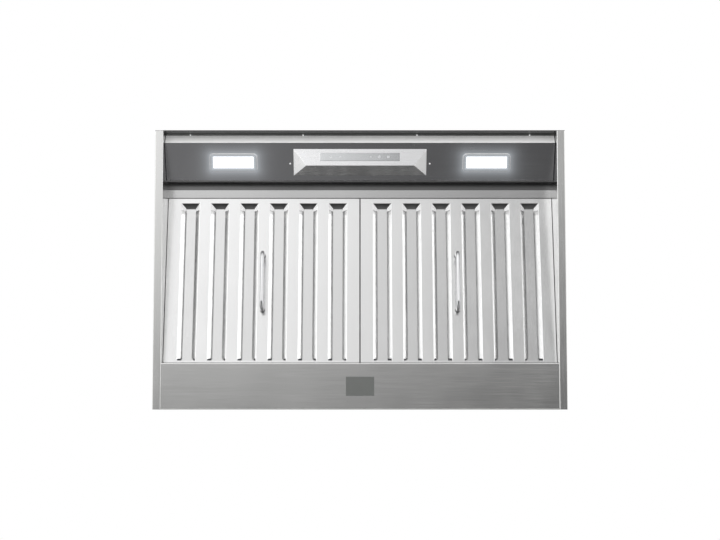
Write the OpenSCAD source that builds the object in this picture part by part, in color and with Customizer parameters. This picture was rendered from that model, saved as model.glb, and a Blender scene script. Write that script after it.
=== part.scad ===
// Range hood insert: a steel liner with a lit control panel, two hinged baffle filters, a blower and a duct
// collar with a back-draught damper. The rim is at z = 0, the front (the cook's side) is at -Y, and +Z is up.
// All lengths are in millimetres.

/* [Liner] */
// Width of the insert, left to right
insert_w = 724; // [690:1:820]
// Depth of the insert, front to back
insert_d = 492; // [480:1:560]
// Height of the liner box below the blower
liner_h = 150; // [144:1:190]
// Thickness of the liner's sheet
sheet_t = 1; // [0.8:0.1:1.2]
// Width of the flange along each side
side_flange_w = 14.6; // [12:0.1:25]
// Height of the inner side walls
inner_wall_h = 110; // [100:1:116]
// Depth of the roof's turned-down flanges
roof_flange_h = 14; // [8:1:18]
// Distance between the two cabinet screws of a side
cabinet_screw_pitch = 380; // [300:1:420]
// Distance from the roof down to the cabinet screws
cabinet_screw_drop = 30; // [24:1:32]
// Diameter of a cabinet screw's hole
cabinet_hole_d = 5.5; // [4:0.1:7]

/* [Light panel] */
// Height of the hem behind the front lip
hem_h = 27; // [24:0.5:32]
// Depth of the light panel's front flange
panel_flange_d = 3.6; // [3.4:0.1:6]
// Depth of the short facet behind that flange
facet_run = 14.1; // [10:0.1:18]
// Drop of the facet, down to the panel's ridge
facet_drop = 11; // [8:0.1:14]
// Depth of the sloping panel
panel_run = 64; // [62:0.5:72]
// Rise of the sloping panel
panel_rise = 34; // [28:0.5:38]
// Gap between the light panel and its neighbours
panel_gap = 0.3; // [0.1:0.1:0.6]
// Gap between the light panel's ends and the inner side walls
panel_end_gap = 1; // [0.5:0.1:2]
// Height of the panel's turned-up rear edge
panel_upturn = 12; // [8:1:20]
// Length of each leg of the bracket over the front flange
bracket_leg = 14; // [10:1:18]
// Distance of the inner pair of flange screws from the middle
flange_screw_x = 101.6; // [80:0.1:130]
// Spacing of the flange screws on each side
flange_screw_pitch = 201.1; // [150:0.1:205]
// Diameter of a flange screw's shank
flange_screw_d = 2; // [1.6:0.1:2.4]

/* [Lamps] */
// Distance of each lamp's middle from the light panel's end
lamp_inset = 120.4; // [106:0.1:141]
// Distance of the lamps from the panel's ridge, along the slope
lamp_s = 37.2; // [30:0.1:42]
// Length of a lamp's lens
lens_l = 73.6; // [50:0.1:90]
// Width of a lamp's lens
lens_w = 22.9; // [16:0.1:28]
// Thickness of a lamp's lens
lens_t = 2.5; // [1.5:0.1:4]
// Width of the bezel's border
bezel_border = 6; // [5:0.1:8]
// Thickness of the bezel's border
bezel_t = 1.5; // [1:0.1:2.5]
// Wall of the bezel's sleeve
sleeve_wall = 1.6; // [1.2:0.1:2.5]
// Height of a lamp's housing above the panel
lamp_housing_h = 14; // [10:0.5:18]
// Wall of a lamp's housing
lamp_housing_wall = 1.5; // [1:0.1:2.5]
// Number of light-emitting diodes on each lamp board
led_count = 6; // [3:1:10]

/* [Control] */
// Length of the control housing at its base
control_l = 237.5; // [200:0.5:240]
// Length of the control housing's ridge
control_ridge_l = 191.5; // [170:0.5:194]
// Distance from the panel's ridge to the control housing
control_s = 11.5; // [7:0.1:13]
// Width of the control housing, along the slope
control_w = 50.3; // [45:0.1:53]
// Distance from the control housing's front edge to its ridge, along the slope
control_ridge_s = 24.9; // [22:0.1:28]
// Height of the control housing above the panel
control_h = 18.1; // [12:0.1:20]
// Wall of the control housing
control_wall = 1.2; // [0.8:0.1:1.8]
// Length of the touch glass
glass_l = 142; // [100:0.5:150]
// Width of the touch glass
glass_w = 14.5; // [10:0.1:16]
// Distance from the control housing's front edge to the glass
glass_s = 7.4; // [6:0.1:8]
// Height of the glass above the face round it
glass_proud = 0.2; // [0.1:0.05:0.5]
// Thickness of the printed boards
board_t = 1.6; // [1:0.1:2.4]
// Distance of each control screw from the middle
control_screw_x = 124.5; // [122:0.1:135]
// Distance of the control screws from the panel's ridge, along the slope
control_screw_s = 39; // [30:0.5:45]

/* [Electronics] */
// Length of the electronics box
ebox_l = 220; // [160:1:260]
// Width of the electronics box
ebox_w = 62; // [50:1:66]
// Height of the electronics box
ebox_h = 42; // [34:1:48]
// Wall of the electronics box
ebox_wall = 1.2; // [0.8:0.1:2]
// Diameter of a lamp's lead
lead_d = 3.2; // [2:0.1:4.5]

/* [Filters] */
// Depth of the ledge that holds the filters' front edges
ledge_d = 27.2; // [20:0.1:32]
// Rise from the light panel's rear edge to the ledge
ledge_rise = 30.8; // [28:0.1:32]
// Diameter of the rolled bead along the ledge's rear edge
bead_d = 3; // [2.6:0.1:4]
// Depth of the flat rear pan
pan_d = 80.2; // [60:0.1:90]
// Height of the rear pan's underside above the rim
pan_raise = 1; // [0.9:0.1:2]
// Height of the rear pan's shelf
shelf_h = 24; // [18:0.5:26]
// Depth of the rear pan's shelf
shelf_d = 24; // [18:0.5:30]
// Rise from the shelf to the filters' rear edges
filter_rear_rise = 1.1; // [0.6:0.1:3]
// Gap between the rear pan and the filters
filter_rear_gap = 2.2; // [1.8:0.1:4]
// Gap beside each filter
filter_gap = 1.4; // [1:0.1:2.5]
// Thickness of a filter
filter_t = 15; // [13:0.1:18]
// Thickness of the filters' sheet
filter_sheet_t = 0.8; // [0.6:0.1:1]
// Number of slots in each filter
slot_count = 6; // [4:2:6]
// Width of the flat sheet between two slots
slot_flat_w = 20.7; // [16:0.1:26]
// Distance from a filter's side to its first slot
slot_border = 23.1; // [16:0.1:28]
// Distance from a filter's front edge to its slots
slot_front = 9; // [8:0.1:14]
// Distance from the slots to a filter's rear edge
slot_rear = 2.6; // [2:0.1:8]
// Width taken by each of a slot's sloping walls
slot_wall_run = 7.5; // [6:0.1:9]
// Height of a slot's sloping walls
slot_wall_rise = 9.5; // [7:0.1:9.6]
// Length of the bevel at the ends of those walls
slot_bevel = 7; // [4:0.1:9]
// Overlap of a rear channel over its slot, on each side
channel_overlap = 3.7; // [3:0.1:5]
// Height of the open air path under a rear channel's legs
channel_clear = 5; // [4.2:0.1:6.5]
// Reach of a filter's front edge over the ledge
filter_hook = 6; // [4:0.1:9]
// Width of the filter frame's turned-in lips
frame_lip = 8; // [6:0.1:12]
// Clearance round the hinge bead
bead_gap = 0.3; // [0.2:0.05:0.5]
// Length of a filter catch
catch_l = 22; // [14:0.5:30]
// Height of a filter catch
catch_h = 12; // [8:0.5:13]
// Distance of the catches from a filter's middle
catch_x = 110; // [60:1:150]

/* [Handles] */
// Diameter of a handle's rod
handle_d = 7.5; // [5:0.1:9]
// Distance between a handle's two feet
handle_span = 100; // [80:0.5:130]
// Distance from a filter's front edge to its handle's middle
handle_s = 158.7; // [100:0.1:190]
// Distance from the filter to the handle's outer side
handle_reach = 36; // [30:0.1:38]
// Radius of the bends, at the rod's middle
handle_bend_r = 11; // [8:0.1:16]
// Diameter of a handle's foot
foot_d = 11.5; // [10:0.1:14]
// Thickness of a handle's foot
foot_t = 1.2; // [0.8:0.1:2]
// Height of the nut above the filter's sheet
foot_nut_h = 5; // [3:0.1:6]

/* [Blower] */
// Width of the blower box
blower_w = 340; // [300:1:400]
// Depth of the blower box
blower_d = 260; // [240:1:300]
// Height of the blower box
blower_h = 130; // [125:1:170]
// Distance from the insert's middle back to the blower box's middle
blower_y = 5; // [0:1:30]
// Width of the blower box's bottom flange
blower_flange_w = 14; // [12:0.5:20]
// Diameter of the impeller
impeller_d = 120; // [100:1:130]
// Width of the impeller
impeller_w = 108; // [80:1:112]
// Number of impeller blades
blade_count = 30; // [20:1:40]
// Length of a blade
blade_chord = 13; // [10:0.1:14]
// Thickness of a blade
blade_t = 1.2; // [0.8:0.1:1.6]
// Gap between the impeller and the scroll's tongue
tongue_gap = 8; // [6:0.1:12]
// Growth of the scroll's radius from its tongue to its outlet
scroll_growth = 24; // [16:0.5:28]
// Width of the scroll
scroll_w = 120; // [116:1:140]
// Distance from the top of the blower box down to the shaft
shaft_drop = 86; // [80:1:95]
// Diameter of the scroll's inlets
inlet_d = 104; // [94:1:108]
// Diameter of the motor
motor_d = 80; // [60:1:82]
// Diameter of the motor's shaft
shaft_d = 8; // [6:0.1:10]
// Clearance between the turning shaft and its bearings, all round
running_gap = 0.05; // [0.02:0.01:0.08]
// Diameter of the run capacitor
capacitor_d = 34; // [25:1:40]
// Length of the run capacitor
capacitor_l = 62; // [40:1:80]

/* [Duct collar] */
// Outer diameter of the duct collar
collar_d = 150; // [120:1:152]
// Height of the duct collar
collar_h = 40; // [34:1:60]
// Wall of the duct collar
collar_wall = 1; // [0.8:0.1:1.5]
// Width of the collar's base flange
collar_flange_w = 14; // [12:0.5:20]
// Distance from the insert's middle back to the collar's middle
collar_y = 10; // [0:1:30]
// Height of the damper's rod above the collar's base
rod_z = 16.5; // [14:0.5:24]
// Diameter of the damper's rod
rod_d = 4; // [3:0.1:5]
// Thickness of a damper flap
flap_t = 0.8; // [0.6:0.1:1.2]
// Gap between the flaps and the collar
flap_gap = 1.5; // [1:0.1:3]
// Wall of the flaps' knuckles
knuckle_wall = 1.35; // [1:0.05:1.6]
// Length of a damper knuckle
knuckle_l = 22; // [14:0.5:24]
// Gap between two knuckles
knuckle_gap = 1; // [0.5:0.1:2]

/* [Supply] */
// Length of the junction box
jbox_l = 100; // [80:1:110]
// Width of the junction box
jbox_w = 64; // [50:1:80]
// Height of the junction box
jbox_h = 40; // [32:1:60]
// Distance of the junction box from the middle of the roof's left part, towards the blower box
jbox_shift = 10.5; // [0:0.5:20]
// Distance of the junction box from the insert's middle, to the rear
jbox_y = 120; // [60:1:180]
// Wall of the junction box
jbox_wall = 1.5; // [1:0.1:2]
// Bore of the cable gland
gland_bore_d = 11; // [8:0.1:13]
// Thread diameter of the cable gland
gland_thread_d = 16; // [15:0.1:20]
// Length of the gland outside the box
gland_out = 14; // [10:0.5:20]

/* [Badge plate] */
// Length of the bare plate under the rear pan
badge_l = 49.3; // [30:0.1:60]
// Width of the bare plate
badge_w = 33.2; // [20:0.1:40]
// Thickness of the bare plate
badge_t = 0.8; // [0.4:0.1:0.8]

/* [Hidden] */
$fn = 64;
cut = 1; // how far a cutting shape runs past the face that it cuts

// Liner
half_w = insert_w / 2;
half_d = insert_d / 2;
front_y = -half_d;
rear_y = half_d;
opening_half = half_w - side_flange_w;
wall_half = half_w - sheet_t;
ceiling_z = liner_h - sheet_t;
cabinet_screw_z = liner_h - cabinet_screw_drop;

// Light panel, in section
panel_front_y = front_y + 2 * sheet_t + panel_gap;
facet_y = panel_front_y + panel_flange_d;
ridge_y = facet_y + facet_run;
ridge_z = hem_h - facet_drop;
panel_slope = atan(panel_rise / panel_run);
divider_y = ridge_y + panel_run;
panel_end_z = ridge_z + panel_rise;
panel_half = opening_half - panel_end_gap;
flange_screw_y = panel_front_y + panel_flange_d / 2;
screw_head_d = panel_flange_d - 2 * panel_gap;
screw_head_h = 1;
screw_l = 5;

// Ledge, pan and filters
ledge_z = panel_end_z + ledge_rise;
ledge_edge_y = divider_y + ledge_d;
bead_r = bead_d / 2;
pivot_y = ledge_edge_y - bead_r;
pivot_z = ledge_z + bead_r;
pan_rear_y = rear_y - sheet_t;
pan_y = pan_rear_y - pan_d;
filter_run = pan_y - filter_rear_gap - ledge_edge_y;
filter_fall = ledge_z - shelf_h - filter_rear_rise;
filter_slope = atan(filter_fall / filter_run);
face_l = norm([filter_run, filter_fall]);
filter_w = (2 * opening_half - 3 * filter_gap) / 2;
filter_x = (filter_gap + filter_w) / 2;
face_s = bead_r * (cos(filter_slope) + sin(filter_slope));
face_z = bead_r * (sin(filter_slope) - cos(filter_slope));
filter_top_z = face_z + filter_t;
filter_end_s = face_s + face_l;
hook_z = bead_r + bead_gap;
slot_w = (filter_w - 2 * slot_border - (slot_count - 1) * slot_flat_w) / slot_count;
slot_pitch = slot_w + slot_flat_w;
slot_start_s = face_s + slot_front;
slot_end_s = filter_end_s - slot_rear;
channel_half = slot_w / 2 + channel_overlap;
catch_y = pan_y + filter_t * sin(filter_slope) - filter_rear_gap + panel_gap;

// Handles
handle_r = handle_d / 2;
foot_hole_r = handle_r + running_gap;
handle_mid_s = face_s + handle_s;
grip_z = face_z - handle_reach + handle_r;

// Lamps, in the panel's own frame
lamp_x = panel_half - lamp_inset;
sleeve_l = lens_l + 2 * sleeve_wall;
sleeve_w = lens_w + 2 * sleeve_wall;
sleeve_h = 6;
lens_gap = 0.1;
lens_set_back = 0.3;
lamp_housing_l = sleeve_l + 2 * lamp_housing_wall + 2 * panel_gap;
lamp_housing_w = sleeve_w + 2 * lamp_housing_wall + 2 * panel_gap;
lamp_top_z = sheet_t + lamp_housing_h;
led_l = 5;
led_h = 1;

// Control housing, in the panel's own frame
touch_angle = atan(control_h / control_ridge_s);
rear_angle = atan(control_h / (control_w - control_ridge_s));
hip_angle = atan(2 * control_h / (control_l - control_ridge_l));
control_cable_l = 30;
control_cable_w = 8;
control_board_margin = 3;
bracket_plate_w = 16;

// Electronics
ebox_gap = 6;
ebox_y = divider_y - sheet_t - ebox_gap - ebox_w / 2;
ebox_floor_z = ceiling_z - ebox_h;
lead_z = ceiling_z - ebox_h / 2;
lead_elbow_r = 6;
standoff_d = 6;
standoff_h = 5;
standoff_inset = 9;
board_margin = 2.5;
transformer_l = 34;
transformer_w = 28;
transformer_h = 20;
relay_l = 18;
relay_w = 14;
relay_h = 12;
relay_pitch = 26;
can_d = 10;
can_h = 14;
can_pitch = 16;
lamp_top_y = ridge_y + lamp_s * cos(panel_slope) - lamp_top_z * sin(panel_slope);
lamp_top_height = ridge_z + lamp_s * sin(panel_slope) + lamp_top_z * cos(panel_slope);

// Blower
box_top_z = liner_h + blower_h;
box_lid_z = box_top_z - sheet_t;
shaft_z = box_top_z - shaft_drop;
tongue_angle = 100;
scroll_turn = 360 - tongue_angle;
scroll_min_r = impeller_d / 2 + tongue_gap;
scroll_max_r = scroll_min_r + scroll_growth;
tongue_y = scroll_min_r * cos(tongue_angle);
shaft_y = collar_y - (tongue_y + scroll_max_r) / 2;
scroll_steps = 26;
side_x = scroll_w / 2 + sheet_t;
disc_t = 1.5;
blade_angle = 35;
ring_w = blade_chord + 1;
motor_x = 8;
motor_end_x = side_x + 3;
shaft_r = shaft_d / 2;
bearing_w = 6;
bearing_wall = 5;
bearing_r = shaft_r + bearing_wall;
shaft_end_x = motor_end_x - bearing_w;
hub_x = -20;
hub_flange_t = 2;
hub_wall = 7;
hub_flange_w = 16;
arm_count = 3;
arm_w = 12;
arm_overlap = 12;
motor_ring_w = 6;
motor_chamfer = 4;
blower_hole_inset = 12;
box_screw_d = 3.9;
box_screw_head_d = 7;
box_screw_l = 4;

// Collar and damper
collar_r = collar_d / 2;
collar_in_r = collar_r - collar_wall;
collar_flange_r = collar_r + collar_flange_w;
rod_height = box_top_z + rod_z;
rod_r = rod_d / 2;
knuckle_r = rod_r + running_gap + knuckle_wall;
knuckle_pitch = knuckle_l + knuckle_gap;
flap_r = collar_in_r - flap_gap;
stop_reach = 5;
stop_w = 6;
stop_t = 1.5;

// Supply
jbox_cx = jbox_shift - (wall_half + blower_w / 2 + blower_flange_w) / 2;
jbox_cy = jbox_y;
gland_z = liner_h + jbox_h / 2;
gland_in = 6;
gland_nut_wall = 4;
gland_nut_r = gland_thread_d / 2 + gland_nut_wall;
gland_nut_t = 3;
cover_screw_d = 6;
cover_screw_h = 1.6;
cover_screw_inset = 10;
pole_count = 3;
pole_pitch = 12;
pole_w = 16;
pole_h = 14;
pole_screw_d = 5;
pole_screw_h = 6;

// ---- helpers ----

// Unit direction of the i-th stretch of a path
function stretch(path, i) = (path[i + 1] - path[i]) / norm(path[i + 1] - path[i]);

// The direction to the left of a direction
function left_of(d) = [-d[1], d[0]];

// How far a path's i-th point moves when the path moves left by t, with mitred corners
function shifted(path, i, t) =
    i == 0 ? t * left_of(stretch(path, 0)) :
    i == len(path) - 1 ? t * left_of(stretch(path, i - 1)) :
    let (a = left_of(stretch(path, i - 1)), b = left_of(stretch(path, i))) t * (a + b) / (1 + a * b);

// The path moved left by t
function moved(path, t) = [for (i = [0:len(path) - 1]) path[i] + shifted(path, i, t)];

// Outline of a folded sheet that lies to the left of its path
function folded(path, t) = concat(path, [for (i = [len(path) - 1:-1:0]) path[i] + shifted(path, i, t)]);

// Extrudes a section drawn in Y and Z along X, centred
module along_x(length) {
    rotate([90, 0, 90]) translate([0, 0, -length / 2]) linear_extrude(length) children();
}

// Extrudes a section drawn in X and Z along Y, centred
module along_y(length) {
    rotate([90, 0, 0]) translate([0, 0, -length / 2]) linear_extrude(length) children();
}

// A box from its lowest corner to its highest
module block(low, high) {
    translate(low) cube(high - low);
}

// A box centred in X and Y that stands on z = low
module standing(l, w, low, high) {
    translate([-l / 2, -w / 2, low]) cube([l, w, high - low]);
}

// A cylinder along X
module rod_x(r, from, to) {
    translate([from, 0, 0]) rotate([0, 90, 0]) cylinder(r = r, h = to - from);
}

// The right-hand piece, mirrored for the left
module sided(side) {
    if (side > 0) children();
    else mirror([1, 0, 0]) children();
}

// The light panel's frame: x across, y up its slope from the ridge, z into the liner
module on_panel() {
    translate([0, ridge_y, ridge_z]) rotate([panel_slope, 0, 0]) children();
}

// The touch face's frame, in the same manner
module on_touch_face() {
    on_panel() translate([0, control_s, 0]) rotate([-touch_angle, 0, 0]) children();
}

// A filter's frame: x across, y from the hinge bead towards the rear, z out of its upper side
module on_filter(side) {
    translate([side * filter_x, pivot_y, pivot_z]) rotate([-filter_slope, 0, 0]) children();
}

// ---- liner ----

module side_panel(side) {
    color("lightgray") sided(side) difference() {
        along_y(insert_d) polygon(folded(
            [[opening_half, inner_wall_h], [opening_half, 0], [half_w, 0], [half_w, liner_h]], sheet_t));
        for (end = [-1, 1])
            translate([0, end * half_d, 0])
                block([opening_half - cut, -sheet_t, sheet_t], [wall_half, sheet_t, liner_h + cut]);
        for (end = [-1, 1])
            translate([half_w, end * cabinet_screw_pitch / 2, cabinet_screw_z])
                rod_x(cabinet_hole_d / 2, -sheet_t - cut, cut);
    }
}

module front_panel() {
    color("silver") {
        block([-wall_half, front_y, sheet_t], [wall_half, front_y + sheet_t, liner_h]);
        block([-opening_half, front_y, 0], [opening_half, front_y + 2 * sheet_t, sheet_t]);
        block([-opening_half, front_y, sheet_t], [opening_half, front_y + 2 * sheet_t, hem_h]);
    }
}

module rear_panel() {
    color("silver") {
        block([-wall_half, pan_rear_y, sheet_t], [wall_half, rear_y, liner_h]);
        block([-opening_half, pan_rear_y, 0], [opening_half, rear_y, sheet_t]);
    }
}

module rear_pan() {
    color("silver") along_x(2 * opening_half) polygon(folded([
        [pan_y + shelf_d, shelf_h], [pan_y, shelf_h], [pan_y, pan_raise],
        [pan_rear_y, pan_raise], [pan_rear_y, shelf_h - 2 * sheet_t]
    ], sheet_t));
}

module blower_opening(low, high) {
    translate([0, blower_y, 0])
        standing(blower_w - 2 * blower_hole_inset, blower_d - 2 * blower_hole_inset, low, high);
}

module roof_panel() {
    color("gainsboro") difference() {
        standing(2 * wall_half, insert_d - 2 * sheet_t, liner_h - roof_flange_h, liner_h);
        standing(2 * (wall_half - sheet_t), insert_d - 4 * sheet_t, liner_h - roof_flange_h - cut, ceiling_z);
        blower_opening(ceiling_z - cut, liner_h + cut);
        each_box_screw() screw_hole();
    }
}

module divider_panel() {
    flange_z = ceiling_z - sheet_t;
    color("silver") along_x(2 * opening_half) polygon(folded([
        [divider_y, panel_end_z], [divider_y, flange_z], [divider_y + bracket_leg, flange_z]
    ], sheet_t));
}

// Ledge with a rolled bead along its edge, on which the filters turn
module filter_channel() {
    color("silver") {
        along_x(2 * opening_half) polygon(folded([
            [divider_y, ledge_z + bracket_leg], [divider_y, ledge_z], [pivot_y, ledge_z]
        ], sheet_t));
        translate([0, pivot_y, pivot_z]) rod_x(bead_r, -opening_half, opening_half);
    }
}

module badge_plate() {
    color("dimgray") translate([0, (pan_y + rear_y) / 2, 0])
        standing(badge_l, badge_w, pan_raise - badge_t, pan_raise);
}

// ---- light panel ----

module each_flange_screw() {
    for (side = [-1, 1], i = [0, 1])
        translate([side * (flange_screw_x + i * flange_screw_pitch), flange_screw_y, hem_h]) children();
}

module light_panel() {
    color("dimgray") difference() {
        along_x(2 * panel_half) polygon(folded([
            [panel_front_y, hem_h], [facet_y, hem_h], [ridge_y, ridge_z],
            [divider_y - sheet_t, panel_end_z - sheet_t * tan(panel_slope)],
            [divider_y - sheet_t, panel_end_z + panel_upturn]
        ], sheet_t));
        each_flange_screw() cylinder(d = flange_screw_d + 2 * running_gap, h = 4 * sheet_t, center = true);
        on_panel() {
            for (side = [-1, 1]) {
                translate([side * lamp_x, lamp_s, 0])
                    standing(sleeve_l + 2 * panel_gap, sleeve_w + 2 * panel_gap, -cut, sheet_t + cut);
                translate([side * control_screw_x, control_screw_s, 0])
                    cylinder(d = flange_screw_d + 2 * running_gap, h = 4 * sheet_t, center = true);
            }
            translate([0, control_s + control_w / 2, 0])
                standing(control_cable_l, control_cable_w, -cut, sheet_t + cut);
        }
    }
}

module light_panel_bracket() {
    color("gray") difference() {
        along_x(2 * panel_half) polygon(folded([
            [front_y + sheet_t, hem_h + sheet_t + bracket_leg], [front_y + sheet_t, hem_h + sheet_t],
            [front_y + sheet_t + bracket_leg, hem_h + sheet_t]
        ], sheet_t));
        each_flange_screw() cylinder(d = flange_screw_d + 2 * running_gap, h = 6 * sheet_t, center = true);
    }
}

// A screw whose shank points up from the face at z = 0
module small_screw(shank_l) {
    translate([0, 0, -screw_head_h]) cylinder(d1 = 0.7 * screw_head_d, d2 = screw_head_d, h = screw_head_h);
    cylinder(d = flange_screw_d, h = shank_l);
}

module light_panel_screws() {
    color("gray") {
        each_flange_screw() small_screw(screw_l);
        on_panel() for (side = [-1, 1])
            translate([side * control_screw_x, control_screw_s, 0]) small_screw(screw_l);
    }
}

// ---- lamps ----

module on_lamp(side) {
    on_panel() translate([side * lamp_x, lamp_s, 0]) children();
}

module lamp_bezel(side) {
    color("silver") on_lamp(side) difference() {
        union() {
            standing(lens_l + 2 * bezel_border, lens_w + 2 * bezel_border, -bezel_t, 0);
            standing(sleeve_l, sleeve_w, 0, sleeve_h);
        }
        standing(lens_l, lens_w, -bezel_t - cut, sleeve_h + cut);
    }
}

module lamp_lens(side) {
    low = lens_set_back - bezel_t;
    color("white") on_lamp(side) standing(lens_l - 2 * lens_gap, lens_w - 2 * lens_gap, low, low + lens_t);
}

module lamp_housings() {
    color("gray") for (side = [-1, 1]) on_lamp(side) difference() {
        standing(lamp_housing_l, lamp_housing_w, sheet_t, lamp_top_z);
        standing(lamp_housing_l - 2 * lamp_housing_wall, lamp_housing_w - 2 * lamp_housing_wall,
            sheet_t - cut, lamp_top_z - lamp_housing_wall);
    }
}

module led_boards() {
    board_z = lamp_top_z - lamp_housing_wall - board_t;
    led_pitch = lens_l / led_count;
    led_top = board_z + board_t / 2;
    color("ivory") for (side = [-1, 1]) on_lamp(side) {
        standing(lens_l, lens_w, board_z, board_z + board_t);
        for (i = [0:led_count - 1])
            translate([(i - (led_count - 1) / 2) * led_pitch, 0, 0])
                standing(led_l, led_l, board_z - led_h, led_top);
    }
}

// ---- control ----

// A hip-roof solid on the panel: base from s0 to s1, ridge at s = ridge_s and height h
module hip_roof(s0, s1, ridge_s, h, base_l, ridge_l) {
    intersection() {
        along_x(base_l) polygon([[s0, 0], [ridge_s, -h], [s1, 0]]);
        translate([0, (s0 + s1) / 2, 0]) along_y(s1 - s0)
            polygon([[-base_l / 2, 0], [-ridge_l / 2, -h], [ridge_l / 2, -h], [base_l / 2, 0]]);
    }
}

module control_housing() {
    s1 = control_s + control_w;
    ridge_s = control_s + control_ridge_s;
    in_front = control_s + control_wall / sin(touch_angle);
    in_rear = s1 - control_wall / sin(rear_angle);
    in_h = (in_rear - in_front) / (1 / tan(touch_angle) + 1 / tan(rear_angle));
    in_ridge_s = in_front + in_h / tan(touch_angle);
    in_l = control_l - 2 * control_wall / sin(hip_angle);
    color("lightgray") difference() {
        on_panel() hip_roof(control_s, s1, ridge_s, control_h, control_l, control_ridge_l);
        on_panel() hip_roof(in_front, in_rear, in_ridge_s, in_h, in_l, in_l - 2 * in_h / tan(hip_angle));
        on_touch_face() translate([0, glass_s + glass_w / 2, 0])
            standing(glass_l, glass_w, -cut, control_wall + cut);
    }
}

module touch_glass() {
    color("lightgray") on_touch_face() translate([0, glass_s + glass_w / 2, 0])
        standing(glass_l - 2 * lens_gap, glass_w - 2 * lens_gap, -glass_proud, control_wall);
}

module control_board() {
    color("seagreen") on_touch_face() translate([0, glass_s + glass_w / 2, 0])
        standing(glass_l + 2 * control_board_margin, glass_w, control_wall, control_wall + board_t);
}

module control_bracket() {
    color("gray") on_panel() difference() {
        translate([0, control_screw_s, 0])
            standing(2 * control_screw_x + bracket_plate_w, bracket_plate_w, sheet_t, 2 * sheet_t);
        for (side = [-1, 1])
            translate([side * control_screw_x, control_screw_s, sheet_t])
                cylinder(d = flange_screw_d + 2 * running_gap, h = 4 * sheet_t, center = true);
    }
}

// ---- electronics ----

module electronics_box() {
    color("darkgray") translate([0, ebox_y, 0]) difference() {
        standing(ebox_l, ebox_w, ebox_floor_z, ceiling_z);
        standing(ebox_l - 2 * ebox_wall, ebox_w - 2 * ebox_wall, ebox_floor_z - cut, ceiling_z - ebox_wall);
        translate([0, 0, lead_z]) rod_x(lead_d / 2 + panel_gap, -ebox_l, ebox_l);
    }
}

module electronics_lid() {
    inside_l = ebox_l - 2 * ebox_wall;
    inside_w = ebox_w - 2 * ebox_wall;
    color("darkgray") translate([0, ebox_y, 0]) {
        standing(ebox_l, ebox_w, ebox_floor_z - ebox_wall, ebox_floor_z);
        for (x = [-1, 1], y = [-1, 1])
            translate([x * (inside_l / 2 - standoff_inset), y * (inside_w / 2 - standoff_inset), ebox_floor_z])
                cylinder(d = standoff_d, h = standoff_h);
    }
}

module power_board() {
    low = ebox_floor_z + standoff_h;
    top = low + board_t;
    seat = top - board_t / 2;
    color("seagreen") translate([0, ebox_y, 0]) {
        standing(ebox_l - 2 * (ebox_wall + board_margin), ebox_w - 2 * (ebox_wall + board_margin), low, top);
        translate([-ebox_l / 4, 0, 0]) standing(transformer_l, transformer_w, seat, top + transformer_h);
        for (i = [0:2]) translate([(i + 0.5) * relay_pitch, 0, 0])
            standing(relay_l, relay_w, seat, top + relay_h);
        for (i = [0, 1]) translate([i * can_pitch, -ebox_w / 4, seat]) cylinder(d = can_d, h = can_h);
    }
}

module lamp_leads() {
    down_to = lamp_top_height + lead_d / 2 * tan(panel_slope) + running_gap;
    elbow_x = lamp_x - lead_elbow_r;
    elbow_z = lead_z - lead_elbow_r;
    color("black") for (side = [-1, 1]) sided(side) {
        translate([0, lamp_top_y, lead_z]) rod_x(lead_d / 2, ebox_l / 2 - lead_elbow_r, elbow_x);
        translate([elbow_x, lamp_top_y, elbow_z]) rotate([90, 0, 0])
            rotate_extrude(angle = 90) translate([lead_elbow_r, 0]) circle(d = lead_d);
        translate([lamp_x, lamp_top_y, down_to]) cylinder(d = lead_d, h = elbow_z - down_to);
    }
}

// ---- filters ----

module each_slot() {
    for (i = [0:slot_count - 1]) translate([(i - (slot_count - 1) / 2) * slot_pitch, 0]) children();
}

module handle_foot_places() {
    for (end = [-1, 1]) translate([0, handle_mid_s + end * handle_span / 2, 0]) children();
}

// Sheet with slots, each with a sloping wall along both long sides
module filter_face(side) {
    front_s = face_s + bead_gap;
    mid_s = (front_s + filter_end_s) / 2;
    wall_l = slot_end_s - slot_start_s;
    wall_mid_s = (slot_start_s + slot_end_s) / 2;
    color("gainsboro") on_filter(side) {
        difference() {
            block([-filter_w / 2, front_s, face_z], [filter_w / 2, filter_end_s, face_z + filter_sheet_t]);
            translate([0, 0, face_z - cut]) linear_extrude(filter_sheet_t + 2 * cut) each_slot()
                translate([-slot_w / 2, slot_start_s]) square([slot_w, wall_l]);
            handle_foot_places() cylinder(r = foot_hole_r, h = 8 * filter_sheet_t, center = true);
        }
        intersection() {
            translate([0, wall_mid_s, face_z]) along_y(wall_l) each_slot() for (m = [0, 1]) mirror([m, 0])
                polygon([
                    [slot_w / 2 + filter_sheet_t, 0], [slot_w / 2, 0],
                    [slot_w / 2 - slot_wall_run, slot_wall_rise],
                    [slot_w / 2 - slot_wall_run + filter_sheet_t, slot_wall_rise],
                    [slot_w / 2 + filter_sheet_t, filter_sheet_t]
                ]);
            along_x(filter_w) polygon([
                [slot_start_s, face_z], [slot_end_s, face_z],
                [slot_end_s - slot_bevel, face_z + slot_wall_rise],
                [slot_start_s + slot_bevel, face_z + slot_wall_rise]
            ]);
        }
    }
}

// Channels behind the slots, open at the front end of their floors
module filter_channels(side) {
    floor_z = filter_top_z - filter_sheet_t;
    low_s = filter_sheet_t - filter_hook;
    high_s = filter_end_s - filter_sheet_t;
    color("lightgray") on_filter(side) difference() {
        translate([0, (low_s + high_s) / 2, 0]) along_y(high_s - low_s) each_slot() polygon(folded([
            [-channel_half, face_z + channel_clear], [-channel_half, floor_z],
            [channel_half, floor_z], [channel_half, face_z + channel_clear]
        ], -filter_sheet_t));
        translate([0, 0, floor_z - 2 * filter_sheet_t]) linear_extrude(4 * filter_sheet_t) each_slot()
            translate([-slot_w / 2, slot_start_s - 1]) square([slot_w, slot_bevel + 1]);
    }
}

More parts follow.
